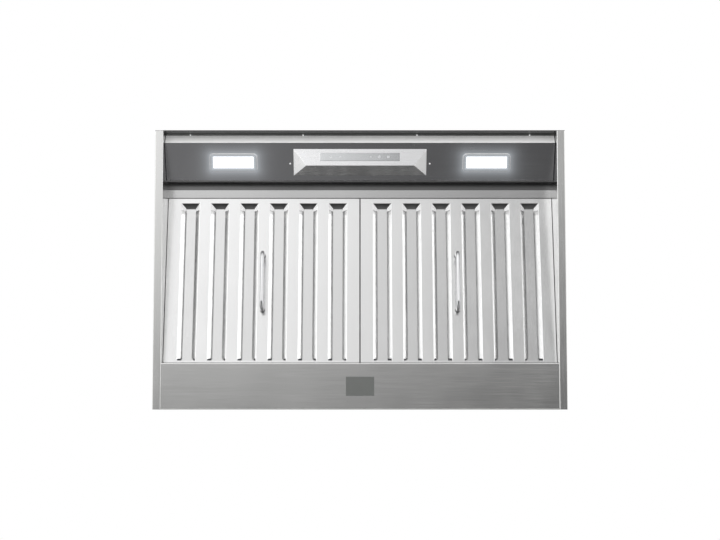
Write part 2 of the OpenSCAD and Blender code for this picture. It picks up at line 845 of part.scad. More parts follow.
// A hollow frame whose front end steps up and hooks over the bead
module filter_frame(side) {
    t = filter_sheet_t;
    seat_z = face_z + t;
    front_s = face_s + bead_gap;
    half = filter_w / 2;
    color("silver") on_filter(side) difference() {
        along_x(filter_w) polygon([
            [-filter_hook, hook_z], [front_s, hook_z], [front_s, seat_z],
            [filter_end_s, seat_z], [filter_end_s, filter_top_z], [-filter_hook, filter_top_z]
        ]);
        along_x(filter_w - 2 * t) polygon([
            [t - filter_hook, hook_z + t], [front_s + t, hook_z + t], [front_s + t, seat_z + t],
            [filter_end_s - t, seat_z + t], [filter_end_s - t, filter_top_z - t],
            [t - filter_hook, filter_top_z - t]
        ]);
        block([-half + frame_lip, frame_lip - filter_hook, filter_top_z - t - cut],
            [half - frame_lip, filter_end_s - frame_lip, filter_top_z + cut]);
        block([-half + frame_lip, slot_start_s, seat_z - cut], [half - frame_lip, slot_end_s, seat_z + 2 * t]);
    }
}

module filter_handle(side) {
    leg_l = handle_reach - handle_r - handle_bend_r;
    grip_l = handle_span - 2 * handle_bend_r;
    color("whitesmoke") on_filter(side) {
        for (end = [-1, 1]) translate([0, handle_mid_s + end * handle_span / 2, 0]) {
            translate([0, 0, face_z - leg_l]) cylinder(r = handle_r, h = leg_l + foot_nut_h);
            translate([0, -end * handle_bend_r, grip_z + handle_bend_r])
                rotate([0, 90, 0]) rotate(end > 0 ? 0 : -90)
                    rotate_extrude(angle = 90) translate([handle_bend_r, 0]) circle(r = handle_r);
        }
        translate([0, handle_mid_s - grip_l / 2, grip_z]) rotate([-90, 0, 0])
            cylinder(r = handle_r, h = grip_l);
    }
}

module filter_feet(side) {
    color("dimgray") on_filter(side) handle_foot_places() {
        difference() {
            translate([0, 0, face_z - foot_t]) cylinder(d = foot_d, h = foot_t);
            cylinder(r = foot_hole_r, h = 2 * handle_reach, center = true);
        }
        difference() {
            translate([0, 0, face_z + filter_sheet_t]) cylinder(d = foot_d, h = foot_nut_h);
            cylinder(r = foot_hole_r, h = 2 * handle_reach, center = true);
        }
    }
}

module filter_catches() {
    color("dimgray") for (side = [-1, 1], end = [-1, 1])
        translate([side * filter_x + end * catch_x, 0, 0])
            block([-catch_l / 2, catch_y, shelf_h], [catch_l / 2, pan_y + shelf_d / 2, shelf_h + catch_h]);
}

// ---- blower ----

module on_blower() {
    translate([0, blower_y, 0]) children();
}

module each_box_screw() {
    screw_x = blower_w / 2 + blower_flange_w / 2;
    screw_y = blower_d / 2 + blower_flange_w / 2;
    on_blower() {
        for (x = [-1, 1], y = [-1, 1]) translate([x * screw_x, y * blower_d / 3, liner_h + sheet_t]) children();
        for (x = [-1, 1], y = [-1, 1]) translate([x * blower_w / 3, y * screw_y, liner_h + sheet_t]) children();
    }
}

module each_collar_screw() {
    for (i = [0:5]) translate([0, collar_y, box_top_z + sheet_t]) rotate(30 + 60 * i)
        translate([collar_r + collar_flange_w / 2, 0, 0]) children();
}

module screw_hole() {
    cylinder(d = box_screw_d + 2 * running_gap, h = 10 * sheet_t, center = true);
}

module blower_box() {
    color("silver") difference() {
        on_blower() union() {
            standing(blower_w, blower_d, liner_h, box_lid_z);
            standing(blower_w + 2 * blower_flange_w, blower_d + 2 * blower_flange_w,
                liner_h, liner_h + sheet_t);
        }
        on_blower() standing(blower_w - 2 * sheet_t, blower_d - 2 * sheet_t, liner_h - cut, box_lid_z + cut);
        each_box_screw() screw_hole();
    }
}

module blower_top() {
    color("silver") difference() {
        on_blower() union() {
            standing(blower_w, blower_d, box_lid_z, box_top_z);
            standing(blower_w - 2 * sheet_t, blower_d - 2 * sheet_t, box_lid_z - roof_flange_h, box_lid_z);
        }
        on_blower() standing(blower_w - 4 * sheet_t, blower_d - 4 * sheet_t,
            box_lid_z - roof_flange_h - cut, box_lid_z);
        translate([0, collar_y, 0]) cylinder(r = collar_in_r, h = box_top_z + cut);
        each_collar_screw() screw_hole();
    }
}

// A dome-headed screw that stands on z = 0
module housing_screw() {
    washer_h = 1.5;
    cylinder(d = box_screw_head_d, h = washer_h);
    translate([0, 0, washer_h]) cylinder(d1 = box_screw_head_d - 1, d2 = box_screw_head_d / 2, h = 1);
    translate([0, 0, -box_screw_l]) cylinder(d = box_screw_d, h = box_screw_l + washer_h / 2);
}

module housing_screws() {
    color("gray") {
        each_box_screw() housing_screw();
        each_collar_screw() housing_screw();
    }
}

function scroll_point(a) =
    let (r = scroll_min_r + scroll_growth * a / scroll_turn) [
        shaft_y + r * cos(tongue_angle + a), shaft_z + r * sin(tongue_angle + a)];

scroll_path = concat(
    [[shaft_y + tongue_y, box_lid_z]],
    [for (i = [0:scroll_steps]) scroll_point(scroll_turn * i / scroll_steps)],
    [[shaft_y + scroll_max_r, box_lid_z]]
);

module scroll_wrap() {
    color("darkgray") along_x(scroll_w) polygon(folded(scroll_path, -sheet_t));
}

module scroll_side(side) {
    color("darkgray") sided(side) difference() {
        translate([side_x - sheet_t / 2, 0, 0]) along_x(sheet_t) polygon(moved(scroll_path, -sheet_t));
        translate([0, shaft_y, shaft_z]) rod_x(inlet_d / 2, scroll_w / 2 - cut, side_x + cut);
    }
}

module on_shaft() {
    translate([0, shaft_y, shaft_z]) children();
}

module impeller_plates() {
    outer_r = impeller_d / 2;
    color("gray") on_shaft() {
        for (side = [-1, 1]) translate([side * (impeller_w - disc_t) / 2, 0, 0])
            along_x(disc_t) difference() {
                circle(r = outer_r);
                circle(r = outer_r - ring_w);
            }
        difference() {
            along_x(disc_t) circle(r = outer_r);
            rod_x(shaft_r + running_gap, -disc_t, disc_t);
        }
    }
}

module impeller_blades() {
    blade_l = (impeller_w - 3 * disc_t) / 2;
    inner_r = impeller_d / 2 - blade_chord + 1;
    color("gray") on_shaft() for (side = [-1, 1]) translate([side * (disc_t + blade_l) / 2, 0, 0])
        along_x(blade_l) for (i = [0:blade_count - 1])
            rotate(i * 360 / blade_count) translate([inner_r, 0]) rotate(blade_angle)
                square([blade_chord, blade_t]);
}

module impeller_hub() {
    color("dimgray") on_shaft() difference() {
        union() {
            rod_x(shaft_r + hub_wall, hub_x, -disc_t / 2);
            rod_x(shaft_r + hub_flange_w, -disc_t / 2 - hub_flange_t, -disc_t / 2);
        }
        rod_x(shaft_r, hub_x - cut, cut);
    }
}

module motor_shaft() {
    color("lightgray") on_shaft() rod_x(shaft_r, hub_x, shaft_end_x + bearing_w / 2);
}

module motor() {
    color("slategray") on_shaft() difference() {
        union() {
            rod_x(motor_d / 2, motor_x + motor_chamfer, motor_end_x);
            rod_x(motor_d / 2 - motor_ring_w, motor_x, motor_x + motor_chamfer);
        }
        rod_x(shaft_r + 1, motor_x - cut, shaft_end_x + bearing_w / 2 + cut);
        rod_x(bearing_r, motor_x - cut, motor_x + bearing_w);
        rod_x(bearing_r, shaft_end_x - bearing_w, shaft_end_x);
    }
}

module motor_bearings() {
    color("lightgray") on_shaft() difference() {
        union() {
            rod_x(bearing_r, motor_x, motor_x + bearing_w);
            rod_x(bearing_r, shaft_end_x - bearing_w, shaft_end_x);
        }
        rod_x(shaft_r + running_gap, motor_x - cut, shaft_end_x + cut);
    }
}

module motor_bracket() {
    ring_r = motor_d / 2 + motor_ring_w;
    color("gray") on_shaft() difference() {
        translate([(side_x + motor_end_x) / 2, 0, 0]) along_x(motor_end_x - side_x) {
            circle(r = ring_r);
            for (i = [0:arm_count - 1]) rotate(30 + i * 360 / arm_count) translate([0, -arm_w / 2])
                square([inlet_d / 2 + arm_overlap, arm_w]);
        }
        rod_x(motor_d / 2, side_x - cut, motor_end_x + cut);
    }
}

module motor_capacitor() {
    color("whitesmoke")
        translate([blower_w / 2 - sheet_t - capacitor_d / 2 - running_gap, shaft_y - capacitor_l / 2, shaft_z])
            rotate([-90, 0, 0]) cylinder(d = capacitor_d, h = capacitor_l);
}

// ---- duct collar and damper ----

module on_collar(z) {
    translate([0, collar_y, z]) children();
}

module duct_collar() {
    stop_top = rod_height - flap_t / 2 - panel_gap;
    color("silver") difference() {
        union() {
            on_collar(box_top_z) difference() {
                union() {
                    cylinder(r = collar_r, h = collar_h);
                    cylinder(r = collar_flange_r, h = sheet_t);
                }
                translate([0, 0, -cut]) cylinder(r = collar_in_r, h = collar_h + 2 * cut);
            }
            on_collar(stop_top - stop_t) for (a = [60, 120, 240, 300]) rotate(a)
                translate([collar_in_r - stop_reach, -stop_w / 2, 0])
                    cube([stop_reach + collar_wall / 2, stop_w, stop_t]);
        }
        on_collar(rod_height) rod_x(rod_r + running_gap, -collar_r - cut, collar_r + cut);
        each_collar_screw() screw_hole();
    }
}

module damper_rod() {
    color("lightgray") on_collar(rod_height) rod_x(rod_r, -collar_r + running_gap, collar_r - running_gap);
}

// A half disc towards +Y with its knuckles on the rod; the other flap's knuckles get notches
module damper_flap(knuckles, other_knuckles) {
    notch_w = knuckle_pitch + knuckle_gap;
    notch_d = knuckle_r + knuckle_gap + cut;
    difference() {
        union() {
            translate([0, 0, -flap_t / 2]) linear_extrude(flap_t) difference() {
                circle(r = flap_r);
                translate([-flap_r - cut, -flap_r - cut])
                    square([2 * (flap_r + cut), flap_r + cut + rod_r + running_gap]);
                for (i = other_knuckles) translate([i * knuckle_pitch - notch_w / 2, -cut])
                    square([notch_w, notch_d]);
                for (end = [-1, 1]) translate([end * (2.5 * knuckle_pitch + flap_r / 2) - flap_r / 2, -cut])
                    square([flap_r, notch_d]);
            }
            for (i = knuckles) translate([i * knuckle_pitch, 0, 0])
                rod_x(knuckle_r, -knuckle_l / 2, knuckle_l / 2);
        }
        rod_x(rod_r + running_gap, -collar_r, collar_r);
    }
}

module damper_flap_front() {
    color("lightgray") on_collar(rod_height) mirror([0, 1, 0]) damper_flap([-2, 0, 2], [-1, 1]);
}

module damper_flap_rear() {
    color("lightgray") on_collar(rod_height) damper_flap([-1, 1], [-2, 0, 2]);
}

// ---- supply ----

module on_junction_box() {
    translate([jbox_cx, jbox_cy, 0]) children();
}

module junction_box() {
    color("silver") on_junction_box() difference() {
        translate([0, -jbox_wall / 2, 0]) standing(jbox_l, jbox_w - jbox_wall, liner_h, liner_h + jbox_h);
        translate([0, cut / 2, 0]) standing(
            jbox_l - 2 * jbox_wall, jbox_w - 2 * jbox_wall + cut, liner_h + jbox_wall, liner_h + jbox_h + cut);
    }
}

module junction_box_end() {
    color("silver") on_junction_box() difference() {
        translate([0, (jbox_w - jbox_wall) / 2, 0]) standing(jbox_l, jbox_wall, liner_h, liner_h + jbox_h);
        translate([0, jbox_w / 2 + cut, gland_z]) rotate([90, 0, 0])
            cylinder(d = gland_thread_d, h = jbox_wall + 2 * cut);
    }
}

module junction_box_cover() {
    top = liner_h + jbox_h;
    color("silver") on_junction_box() {
        standing(jbox_l, jbox_w, top, top + jbox_wall);
        for (x = [-1, 1]) translate([x * (jbox_l / 2 - cover_screw_inset), 0, top + jbox_wall])
            cylinder(d = cover_screw_d, h = cover_screw_h);
    }
}

module cable_gland() {
    color("dimgray") on_junction_box() translate([0, jbox_w / 2, gland_z]) rotate([-90, 0, 0]) difference() {
        union() {
            translate([0, 0, -jbox_wall - gland_in]) cylinder(d = gland_thread_d, h = jbox_wall + gland_in + 1);
            cylinder(r = gland_nut_r, h = gland_out, $fn = 6);
            translate([0, 0, -jbox_wall - gland_nut_t]) cylinder(r = gland_nut_r, h = gland_nut_t, $fn = 6);
        }
        translate([0, 0, -jbox_wall - gland_in - cut])
            cylinder(d = gland_bore_d, h = jbox_wall + gland_in + gland_out + 2 * cut);
    }
}

module terminal_block() {
    low = liner_h + jbox_wall;
    color("ivory") on_junction_box() difference() {
        standing(pole_count * pole_pitch, pole_w, low, low + pole_h);
        for (i = [0:pole_count - 1])
            translate([(i - (pole_count - 1) / 2) * pole_pitch, 0, low + pole_h - pole_screw_h])
                cylinder(d = pole_screw_d, h = pole_screw_h + cut);
    }
}

side_panel(-1);  // side_panel_left
side_panel(1);  // side_panel_right
front_panel();
rear_panel();
rear_pan();
roof_panel();
light_panel();
light_panel_bracket();
light_panel_screws();
divider_panel();
filter_channel();
badge_plate();
lamp_bezel(-1);  // lamp_bezel_left
lamp_bezel(1);  // lamp_bezel_right
lamp_lens(-1);  // lamp_lens_left
lamp_lens(1);  // lamp_lens_right
lamp_housings();
led_boards();
control_housing();
touch_glass();
control_board();
control_bracket();
electronics_box();
electronics_lid();
power_board();
lamp_leads();
filter_catches();
filter_face(-1);  // filter_left_face
filter_channels(-1);  // filter_left_channels
filter_frame(-1);  // filter_left_frame
filter_handle(-1);  // filter_left_handle
filter_feet(-1);  // filter_left_feet
filter_face(1);  // filter_right_face
filter_channels(1);  // filter_right_channels
filter_frame(1);  // filter_right_frame
filter_handle(1);  // filter_right_handle
filter_feet(1);  // filter_right_feet
blower_box();
blower_top();
housing_screws();
scroll_wrap();
scroll_side(-1);  // scroll_side_left
scroll_side(1);  // scroll_side_right
impeller_plates();
impeller_blades();
impeller_hub();
motor_shaft();
motor();
motor_bearings();
motor_bracket();
motor_capacitor();
duct_collar();
damper_flap_front();
damper_flap_rear();
damper_rod();
junction_box();
junction_box_end();
junction_box_cover();
cable_gland();
terminal_block();
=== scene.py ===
# %% [markdown]
# # A range hood insert, seen from the cooktop
#
# The real object is a steel box without a floor that hangs in a kitchen cabinet. Its flat rim,
# its sloping light panel with a hip-roofed control, two baffle filters and a flat rear pan are
# all folded from thin stainless sheet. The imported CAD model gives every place. This script
# dresses it: folds with real bend radii, rolled and hemmed edges, slot walls that turn up out
# of the filters' sheet, brushed and galvanised finishes, lit lamps.
#
# Lengths are in millimetres until a mesh is made. +X is to the cook's right, -Y towards the
# cook, +Z up to the duct, and z = 0 is the rim.

import math

import bmesh
import bpy
import numpy as np
from mathutils import Matrix, Vector


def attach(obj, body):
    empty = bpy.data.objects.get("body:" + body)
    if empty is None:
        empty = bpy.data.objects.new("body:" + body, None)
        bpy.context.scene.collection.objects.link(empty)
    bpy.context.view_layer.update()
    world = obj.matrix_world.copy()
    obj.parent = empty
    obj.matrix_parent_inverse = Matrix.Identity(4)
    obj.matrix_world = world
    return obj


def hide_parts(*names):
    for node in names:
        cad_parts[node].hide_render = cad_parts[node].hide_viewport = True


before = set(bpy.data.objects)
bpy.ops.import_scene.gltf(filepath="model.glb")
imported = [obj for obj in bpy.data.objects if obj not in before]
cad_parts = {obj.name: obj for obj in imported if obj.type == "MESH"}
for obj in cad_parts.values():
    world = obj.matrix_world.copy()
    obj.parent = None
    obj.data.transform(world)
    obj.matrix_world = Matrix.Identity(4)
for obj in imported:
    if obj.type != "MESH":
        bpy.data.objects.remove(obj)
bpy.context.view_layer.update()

# %% [markdown]
# ## Sizes
#
# The same names and numbers as in the construction model, so that each piece lands on the
# solid that it stands for. Lengths "s" run up a slope from its lower front edge.

# %%
def cos_sin(degrees):
    """An angle's cosine and sine."""
    a = math.radians(degrees)
    return math.cos(a), math.sin(a)


SHEET = 1.0
HALF_W, HALF_D = 362.0, 246.0
OPENING_HALF, WALL_HALF = 347.4, 361.0
LINER_H, INNER_WALL_H = 150.0, 110.0
SCREW_HOLE_Y, SCREW_HOLE_Z, SCREW_HOLE_R = 190.0, 120.0, 2.75
HEM_H = 27.0
PANEL_FRONT_Y, FACET_Y, RIDGE_Y, RIDGE_Z = -243.7, -240.1, -226.0, 16.0
PANEL_RUN, PANEL_RISE, PANEL_UPTURN = 64.0, 34.0, 12.0
SLOPE = math.degrees(math.atan(PANEL_RISE / PANEL_RUN))
SLOPE_COS, SLOPE_SIN = cos_sin(SLOPE)
DIVIDER_Y, PANEL_END_Z = RIDGE_Y + PANEL_RUN, RIDGE_Z + PANEL_RISE
PANEL_HALF = OPENING_HALF - 1.0
FLANGE_SCREWS_X, FLANGE_SCREW_Y = (-302.7, -101.6, 101.6, 302.7), -241.9
BRACKET_LEG = 14.0
LEDGE_Z, PIVOT_Y, PIVOT_Z, BEAD_R = 80.8, -136.3, 82.3, 1.5
PAN_Y, PAN_REAR_Y, PAN_Z, SHELF_Z, SHELF_D = 164.8, 245.0, 1.0, 24.0, 24.0
BADGE_L, BADGE_W, BADGE_T = 49.3, 33.2, 0.8

LAMP_X, LAMP_S = 226.0, 37.2
LENS_L, LENS_W, LENS_T, LENS_BACK = 73.6, 22.9, 2.5, 0.3
BEZEL_BORDER, BEZEL_T, SLEEVE_WALL, SLEEVE_H = 6.0, 1.5, 1.6, 6.0

CONTROL_L, CONTROL_RIDGE_L, CONTROL_S, CONTROL_W = 237.5, 191.5, 11.5, 50.3
CONTROL_RIDGE_S, CONTROL_H, CONTROL_WALL = 24.9, 18.1, 1.2
TOUCH_ANGLE = math.degrees(math.atan(CONTROL_H / CONTROL_RIDGE_S))
GLASS_L, GLASS_W, GLASS_S, GLASS_PROUD = 142.0, 14.5, 7.4, 0.2
CONTROL_SCREW_X, CONTROL_SCREW_S = 124.5, 39.0

FILTER_T, FILTER_SHEET, FILTER_W, FILTER_X = 15.0, 0.8, 345.3, 173.35
FILTER_FALL, FILTER_RUN = LEDGE_Z - SHELF_Z - 1.1, PAN_Y - 2.2 + 134.8
FILTER_SLOPE = math.degrees(math.atan(FILTER_FALL / FILTER_RUN))
FILTER_COS, FILTER_SIN = cos_sin(FILTER_SLOPE)
FACE_S, FACE_Z = BEAD_R * (FILTER_COS + FILTER_SIN), BEAD_R * (FILTER_SIN - FILTER_COS)
FILTER_END_S = FACE_S + math.hypot(FILTER_RUN, FILTER_FALL)
BEAD_GAP = 0.3
SLOT_COUNT, SLOT_FLAT, SLOT_BORDER = 6, 20.7, 23.1
SLOT_W = (FILTER_W - 2 * SLOT_BORDER - (SLOT_COUNT - 1) * SLOT_FLAT) / SLOT_COUNT
SLOT_START, SLOT_END = FACE_S + 9.0, FILTER_END_S - 2.6
SLOT_RUN, SLOT_RISE, SLOT_BEVEL = 7.5, 9.5, 7.0
CHANNEL_HALF, CHANNEL_CLEAR, FILTER_HOOK = SLOT_W / 2 + 3.7, 5.0, 6.0
HANDLE_R, HANDLE_SPAN, HANDLE_MID = 3.75, 100.0, FACE_S + 158.7
HANDLE_REACH, HANDLE_BEND, HANDLE_NUT = 36.0, 11.0, 5.0

COLLAR_Y, COLLAR_R, COLLAR_H, BOX_TOP = 10.0, 75.0, 40.0, 280.0
SIDES = ((-1, "left"), (1, "right"))
print(f"panel slope {SLOPE:.2f}, filter slope {FILTER_SLOPE:.2f}, touch face {TOUCH_ANGLE:.2f} degrees")
print(f"slot {SLOT_W:.2f} mm wide, {SLOT_END - SLOT_START:.1f} mm long")

# %% [markdown]
# ## Camera
#
# The object hangs overhead, so the camera looks straight up at it from a little behind its
# middle, with the cook's side at the top of the picture. A long lens keeps the rim nearly
# square, as catalogue pictures do.

# %%
CAMERA_AT = Vector((0.0, 0.2404, -2.6895))
AIM = Vector((0.0, 0.00225, 0.0))
ahead = (AIM - CAMERA_AT).normalized()
across = Vector((1.0, 0.0, 0.0))
camera = bpy.data.objects.new("camera", bpy.data.cameras.new("camera"))
bpy.context.scene.collection.objects.link(camera)
camera.data.lens = 77.0
camera.data.sensor_width = 36.0
camera.data.clip_end = 50.0
turned = Matrix((across, across.cross(ahead), -ahead)).transposed().to_4x4()
camera.matrix_world = Matrix.Translation(CAMERA_AT) @ turned
bpy.context.scene.camera = camera
print("camera looks along", [round(v, 3) for v in ahead], "with up", [round(v, 3) for v in across.cross(ahead)])

# %% [markdown]
# ## Node helpers
#
# A finish is a small graph of shader nodes. `node` adds one node and wires it up in one call:
# an input gets either a value or the output that feeds it.

# %%
def node(tree, kind, inputs=None, **settings):
    """Adds a shader node to the tree, sets its properties, fills or links its inputs, and returns it."""
    n = tree.nodes.new("ShaderNode" + kind)
    for key, value in settings.items():
        setattr(n, key, value)
    for key, value in (inputs or {}).items():
        if isinstance(value, bpy.types.NodeSocket):
            tree.links.new(value, n.inputs[key])
        else:
            n.inputs[key].default_value = value
    return n


def calc(tree, operation, *values):
    """The output of a Math node on one, two or three values or sockets."""
    return node(tree, "Math", dict(enumerate(values)), operation=operation).outputs[0]


def rgb(value):
    """A grey number or an RGB triple as RGB."""
    return value if isinstance(value, tuple) else (value, value, value)


def colour4(value):
    """A grey number or an RGB triple as RGBA."""
    return (*rgb(value), 1.0)


def shades(base, *factors):
    """A grey or colour at several strengths."""
    return [tuple(v * f for v in rgb(base)) for f in factors]


def ramp(tree, factor, stops):
    """A ColorRamp's colour output, for stops of (position, grey or colour)."""
    n = node(tree, "ValToRGB", {"Fac": factor})
    elements = n.color_ramp.elements
    while len(elements) < len(stops):
        elements.new(0.5)
    for element, (position, value) in zip(elements, stops):
        element.position = position
        element.color = colour4(value)
    return n.outputs["Color"]


def mapped(tree, value, low, high, to_low=0.0, to_high=1.0):
    """A clamped linear map of a value from low..high to to_low..to_high."""
    return node(tree, "MapRange", {"Value": value, "From Min": low, "From Max": high,
                                   "To Min": to_low, "To Max": to_high}).outputs["Result"]


def mixed(tree, factor, a, b, blend="MIX"):
    """A colour mix of a and b."""
    a, b = (v if isinstance(v, bpy.types.NodeSocket) else colour4(v) for v in (a, b))
    return node(tree, "Mix", {0: factor, 6: a, 7: b}, data_type="RGBA", blend_type=blend).outputs[2]


def object_point(tree):
    """The point on the object in metres, at rest."""
    return node(tree, "TexCoord").outputs["Object"]


def xyz(tree, vector):
    """A vector's parts, as outputs X, Y and Z."""
    return node(tree, "SeparateXYZ", {0: vector}).outputs


# %% [markdown]
# ## Studio
#
# Steel shows what stands round it, so the studio is a soft gradient: bright towards the cook's
# side, darker towards the wall, a little brighter on the left, with a bright band on either
# side that lights the walls of the filters' slots. Overhead it is plain white, and that white
# is also what the camera, reflections and glass see behind the hood. Each stop below is a
# ray's run for each unit that it goes down, and the light there.

# %%
world = bpy.data.worlds.new("studio")
bpy.context.scene.world = world
world.use_nodes = True
tree = world.node_tree
tree.nodes.clear()
ray = xyz(tree, node(tree, "TexCoord").outputs["Generated"])
LEAST_DEPTH, TURN, HORIZON = 0.05, (-0.3, 0.0), (-0.03, 0.08)
SURROUND, SURROUND_X, SURROUND_Y = 1.22, (0.58, 0.85), (0.65, 0.95)
depth = calc(tree, "MAXIMUM", calc(tree, "MULTIPLY", ray["Z"], -1.0), LEAST_DEPTH)
DEPTHS = ((-2.0, 0.8), (-0.65, 1.15), (-0.55, 1.12), (-0.42, 0.93), (-0.3, 1.02), (-0.2, 1.13), (-0.13, 0.9),
          (-0.085, 0.74), (-0.048, 0.56), (0.0, 0.34), (0.06, 0.24), (0.3, 0.24), (0.6, 0.26), (1.06, 0.46), (2.0, 0.4))
SIDES_BEFORE = ((-1.0, 0.6), (-0.72, 0.7), (-0.67, 1.3), (-0.63, 2.2), (-0.585, 3.3), (-0.505, 3.2), (-0.36, 2.5),
                (-0.22, 0.95), (-0.134, 0.94), (-0.056, 1.0), (-0.022, 0.94), (0.022, 0.79), (0.056, 0.67), (0.1, 0.5),
                (0.15, 0.43), (0.22, 0.45), (0.36, 1.6), (0.42, 1.4), (0.505, 1.3), (0.56, 1.6), (0.67, 1.8),
                (1.0, 0.9))
SIDES_BEHIND = ((-1.0, 0.9), (-0.134, 1.0), (-0.022, 0.82), (0.022, 0.65), (0.056, 0.51), (0.1, 0.4), (0.15, 0.38),
                (0.25, 0.5), (0.6, 1.0), (1.0, 0.9))


def graded(axis, stops):
    """The studio's light by the slope of a ray: its run along an axis for each unit that it goes down."""
    low, high = stops[0][0], stops[-1][0]
    place = mapped(tree, calc(tree, "DIVIDE", ray[axis], depth), low, high)
    return ramp(tree, place, [((slope - low) / (high - low), value) for slope, value in stops])


turning = mapped(tree, calc(tree, "DIVIDE", ray["Y"], depth), *TURN)
sideways = mixed(tree, turning, graded("X", SIDES_BEFORE), graded("X", SIDES_BEHIND))
below = mixed(tree, 1.0, graded("Y", DEPTHS), sideways, "MULTIPLY")
beside_it = mapped(tree, calc(tree, "ABSOLUTE", ray["X"]), *SURROUND_X)
before_it = mapped(tree, calc(tree, "MULTIPLY", ray["Y"], -1.0), *SURROUND_Y)
below = mixed(tree, calc(tree, "MAXIMUM", beside_it, before_it), below, SURROUND)
overhead = mapped(tree, ray["Z"], *HORIZON)
light = node(tree, "Background", {"Color": mixed(tree, overhead, below, 1.0), "Strength": 1.0})
white = node(tree, "Background", {"Color": colour4(1.0), "Strength": 1.0})
path = node(tree, "LightPath").outputs
mirrored = calc(tree, "MULTIPLY", calc(tree, "ADD", path["Is Glossy Ray"], path["Is Transmission Ray"]), overhead)
seen = calc(tree, "MINIMUM", calc(tree, "ADD", path["Is Camera Ray"], mirrored), 1.0)
shown = node(tree, "MixShader", {0: seen, 1: light.outputs[0], 2: white.outputs[0]})
node(tree, "OutputWorld", {"Surface": shown.outputs[0]})
print("world:", len(tree.nodes), "nodes")

# %% [markdown]
# ## Finishes
#
# Four patterns are shared by many finishes, so each is a node group of its own: brushed
# streaks, soft smudges, the crystals of galvanised sheet, and the fine grain of moulded or
# painted surfaces. They give plain values; each finish feeds them to its own shader.

# %%
def pattern(name, inputs, outputs):
    """A new node group with a Point input, more float inputs with defaults, and float outputs."""
    tree = bpy.data.node_groups.new(name, "ShaderNodeTree")
    tree.interface.new_socket("Point", in_out="INPUT", socket_type="NodeSocketVector")
    for socket, value in inputs:
        kind = "NodeSocketVector" if isinstance(value, tuple) else "NodeSocketFloat"
        tree.interface.new_socket(socket, in_out="INPUT", socket_type=kind).default_value = value
    for socket in outputs:
        tree.interface.new_socket(socket, in_out="OUTPUT", socket_type="NodeSocketFloat")
    return tree, tree.nodes.new("NodeGroupInput").outputs, tree.nodes.new("NodeGroupOutput")


def noise(tree, vector, scale, detail=2.0, roughness=0.5):
    """A noise value from 0 to 1."""
    return node(tree, "TexNoise", {"Vector": vector, "Scale": scale, "Detail": detail,
                                   "Roughness": roughness}).outputs[0]


def scaled(tree, vector, scale):
    """A vector times a number."""
    return node(tree, "VectorMath", {0: vector, "Scale": scale}, operation="SCALE").outputs[0]


brushed, got, give = pattern("brushed_streaks", (("Stretch", (1.0, 1.0, 1.0)),), ("Streaks", "Height"))
along = node(brushed, "VectorMath", {0: got["Point"], 1: got["Stretch"]}, operation="MULTIPLY").outputs[0]
fine = noise(brushed, along, 1.0, 3.0, 0.6)
wide = noise(brushed, scaled(brushed, along, 0.16), 1.0, 2.0)
brushed.links.new(calc(brushed, "ADD", calc(brushed, "MULTIPLY", fine, 0.8), calc(brushed, "MULTIPLY", wide, 0.2)),
                  give.inputs["Streaks"])
brushed.links.new(fine, give.inputs["Height"])

smudges, got, give = pattern("soft_smudges", (("Size", 0.09),), ("Value",))
large = noise(smudges, got["Point"], calc(smudges, "DIVIDE", 1.0, got["Size"]), 3.0, 0.55)
smudges.links.new(mapped(smudges, large, 0.3, 0.7), give.inputs["Value"])

spangle, got, give = pattern("spangle", (("Size", 0.009),), ("Value", "Height"))
crystal_scale = calc(spangle, "DIVIDE", 1.0, got["Size"])
crystals = node(spangle, "TexVoronoi", {"Vector": got["Point"], "Scale": crystal_scale, "Randomness": 1.0})
tone = node(spangle, "SeparateColor", {0: crystals.outputs["Color"]}).outputs[0]
frost = noise(spangle, got["Point"], 900.0, 2.0)
spangle.links.new(calc(spangle, "ADD", calc(spangle, "MULTIPLY", tone, 0.75), calc(spangle, "MULTIPLY", frost, 0.25)),
                  give.inputs["Value"])
spangle.links.new(calc(spangle, "ADD", crystals.outputs["Distance"], frost), give.inputs["Height"])

grain, got, give = pattern("fine_grain", (("Size", 0.0012),), ("Value",))
grain.links.new(noise(grain, got["Point"], calc(grain, "DIVIDE", 1.0, got["Size"]), 2.0), give.inputs["Value"])
print("patterns:", [group.name for group in bpy.data.node_groups])

# %%
def use(tree, group, **inputs):
    """The outputs of a shared pattern at the object's points."""
    n = node(tree, "Group", None, node_tree=group)
    tree.links.new(object_point(tree), n.inputs["Point"])
    for key, value in inputs.items():
        n.inputs[key].default_value = value
    return n.outputs


def finish(name, roughness, metallic=0.0, **sockets):
    """A new material with a Principled shader: its name, and uniform values on the shader's own sockets."""
    m = bpy.data.materials.new(name)
    m.use_nodes = True
    shader = m.node_tree.nodes["Principled BSDF"]
    shader.inputs["Roughness"].default_value = roughness
    shader.inputs["Metallic"].default_value = metallic
    for key, value in sockets.items():
        shader.inputs[key.replace("_", " ")].default_value = value
    return m, m.node_tree, shader.inputs


def bump(tree, inputs, height, strength, distance):
    """Feeds a height to the shader's normal through a Bump node."""
    tree.links.new(node(tree, "Bump", {"Height": height, "Strength": strength,
                                       "Distance": distance}).outputs[0], inputs["Normal"])


def brushed_steel(name, base, stretch, roughness=0.2, variation=0.05, metallic=1.0, relief=0.05):
    """Brushed sheet: streaks along one direction vary the tone, the gloss and a very small relief."""
    m, tree, inputs = finish(name, roughness, metallic)
    streaks = use(tree, brushed, Stretch=stretch)
    cloud = use(tree, smudges)["Value"]
    low, high = shades(base, 1.0 - variation, 1.0 + variation / 2)
    tree.links.new(ramp(tree, streaks["Streaks"], ((0.3, low), (0.7, high))), inputs["Base Color"])
    spread = calc(tree, "ADD", mapped(tree, streaks["Streaks"], 0.3, 0.7, -0.04, 0.04),
                  mapped(tree, cloud, 0.0, 1.0, roughness - 0.03, roughness + 0.03))
    tree.links.new(spread, inputs["Roughness"])
    bump(tree, inputs, streaks["Height"], relief, 0.00004)
    return m

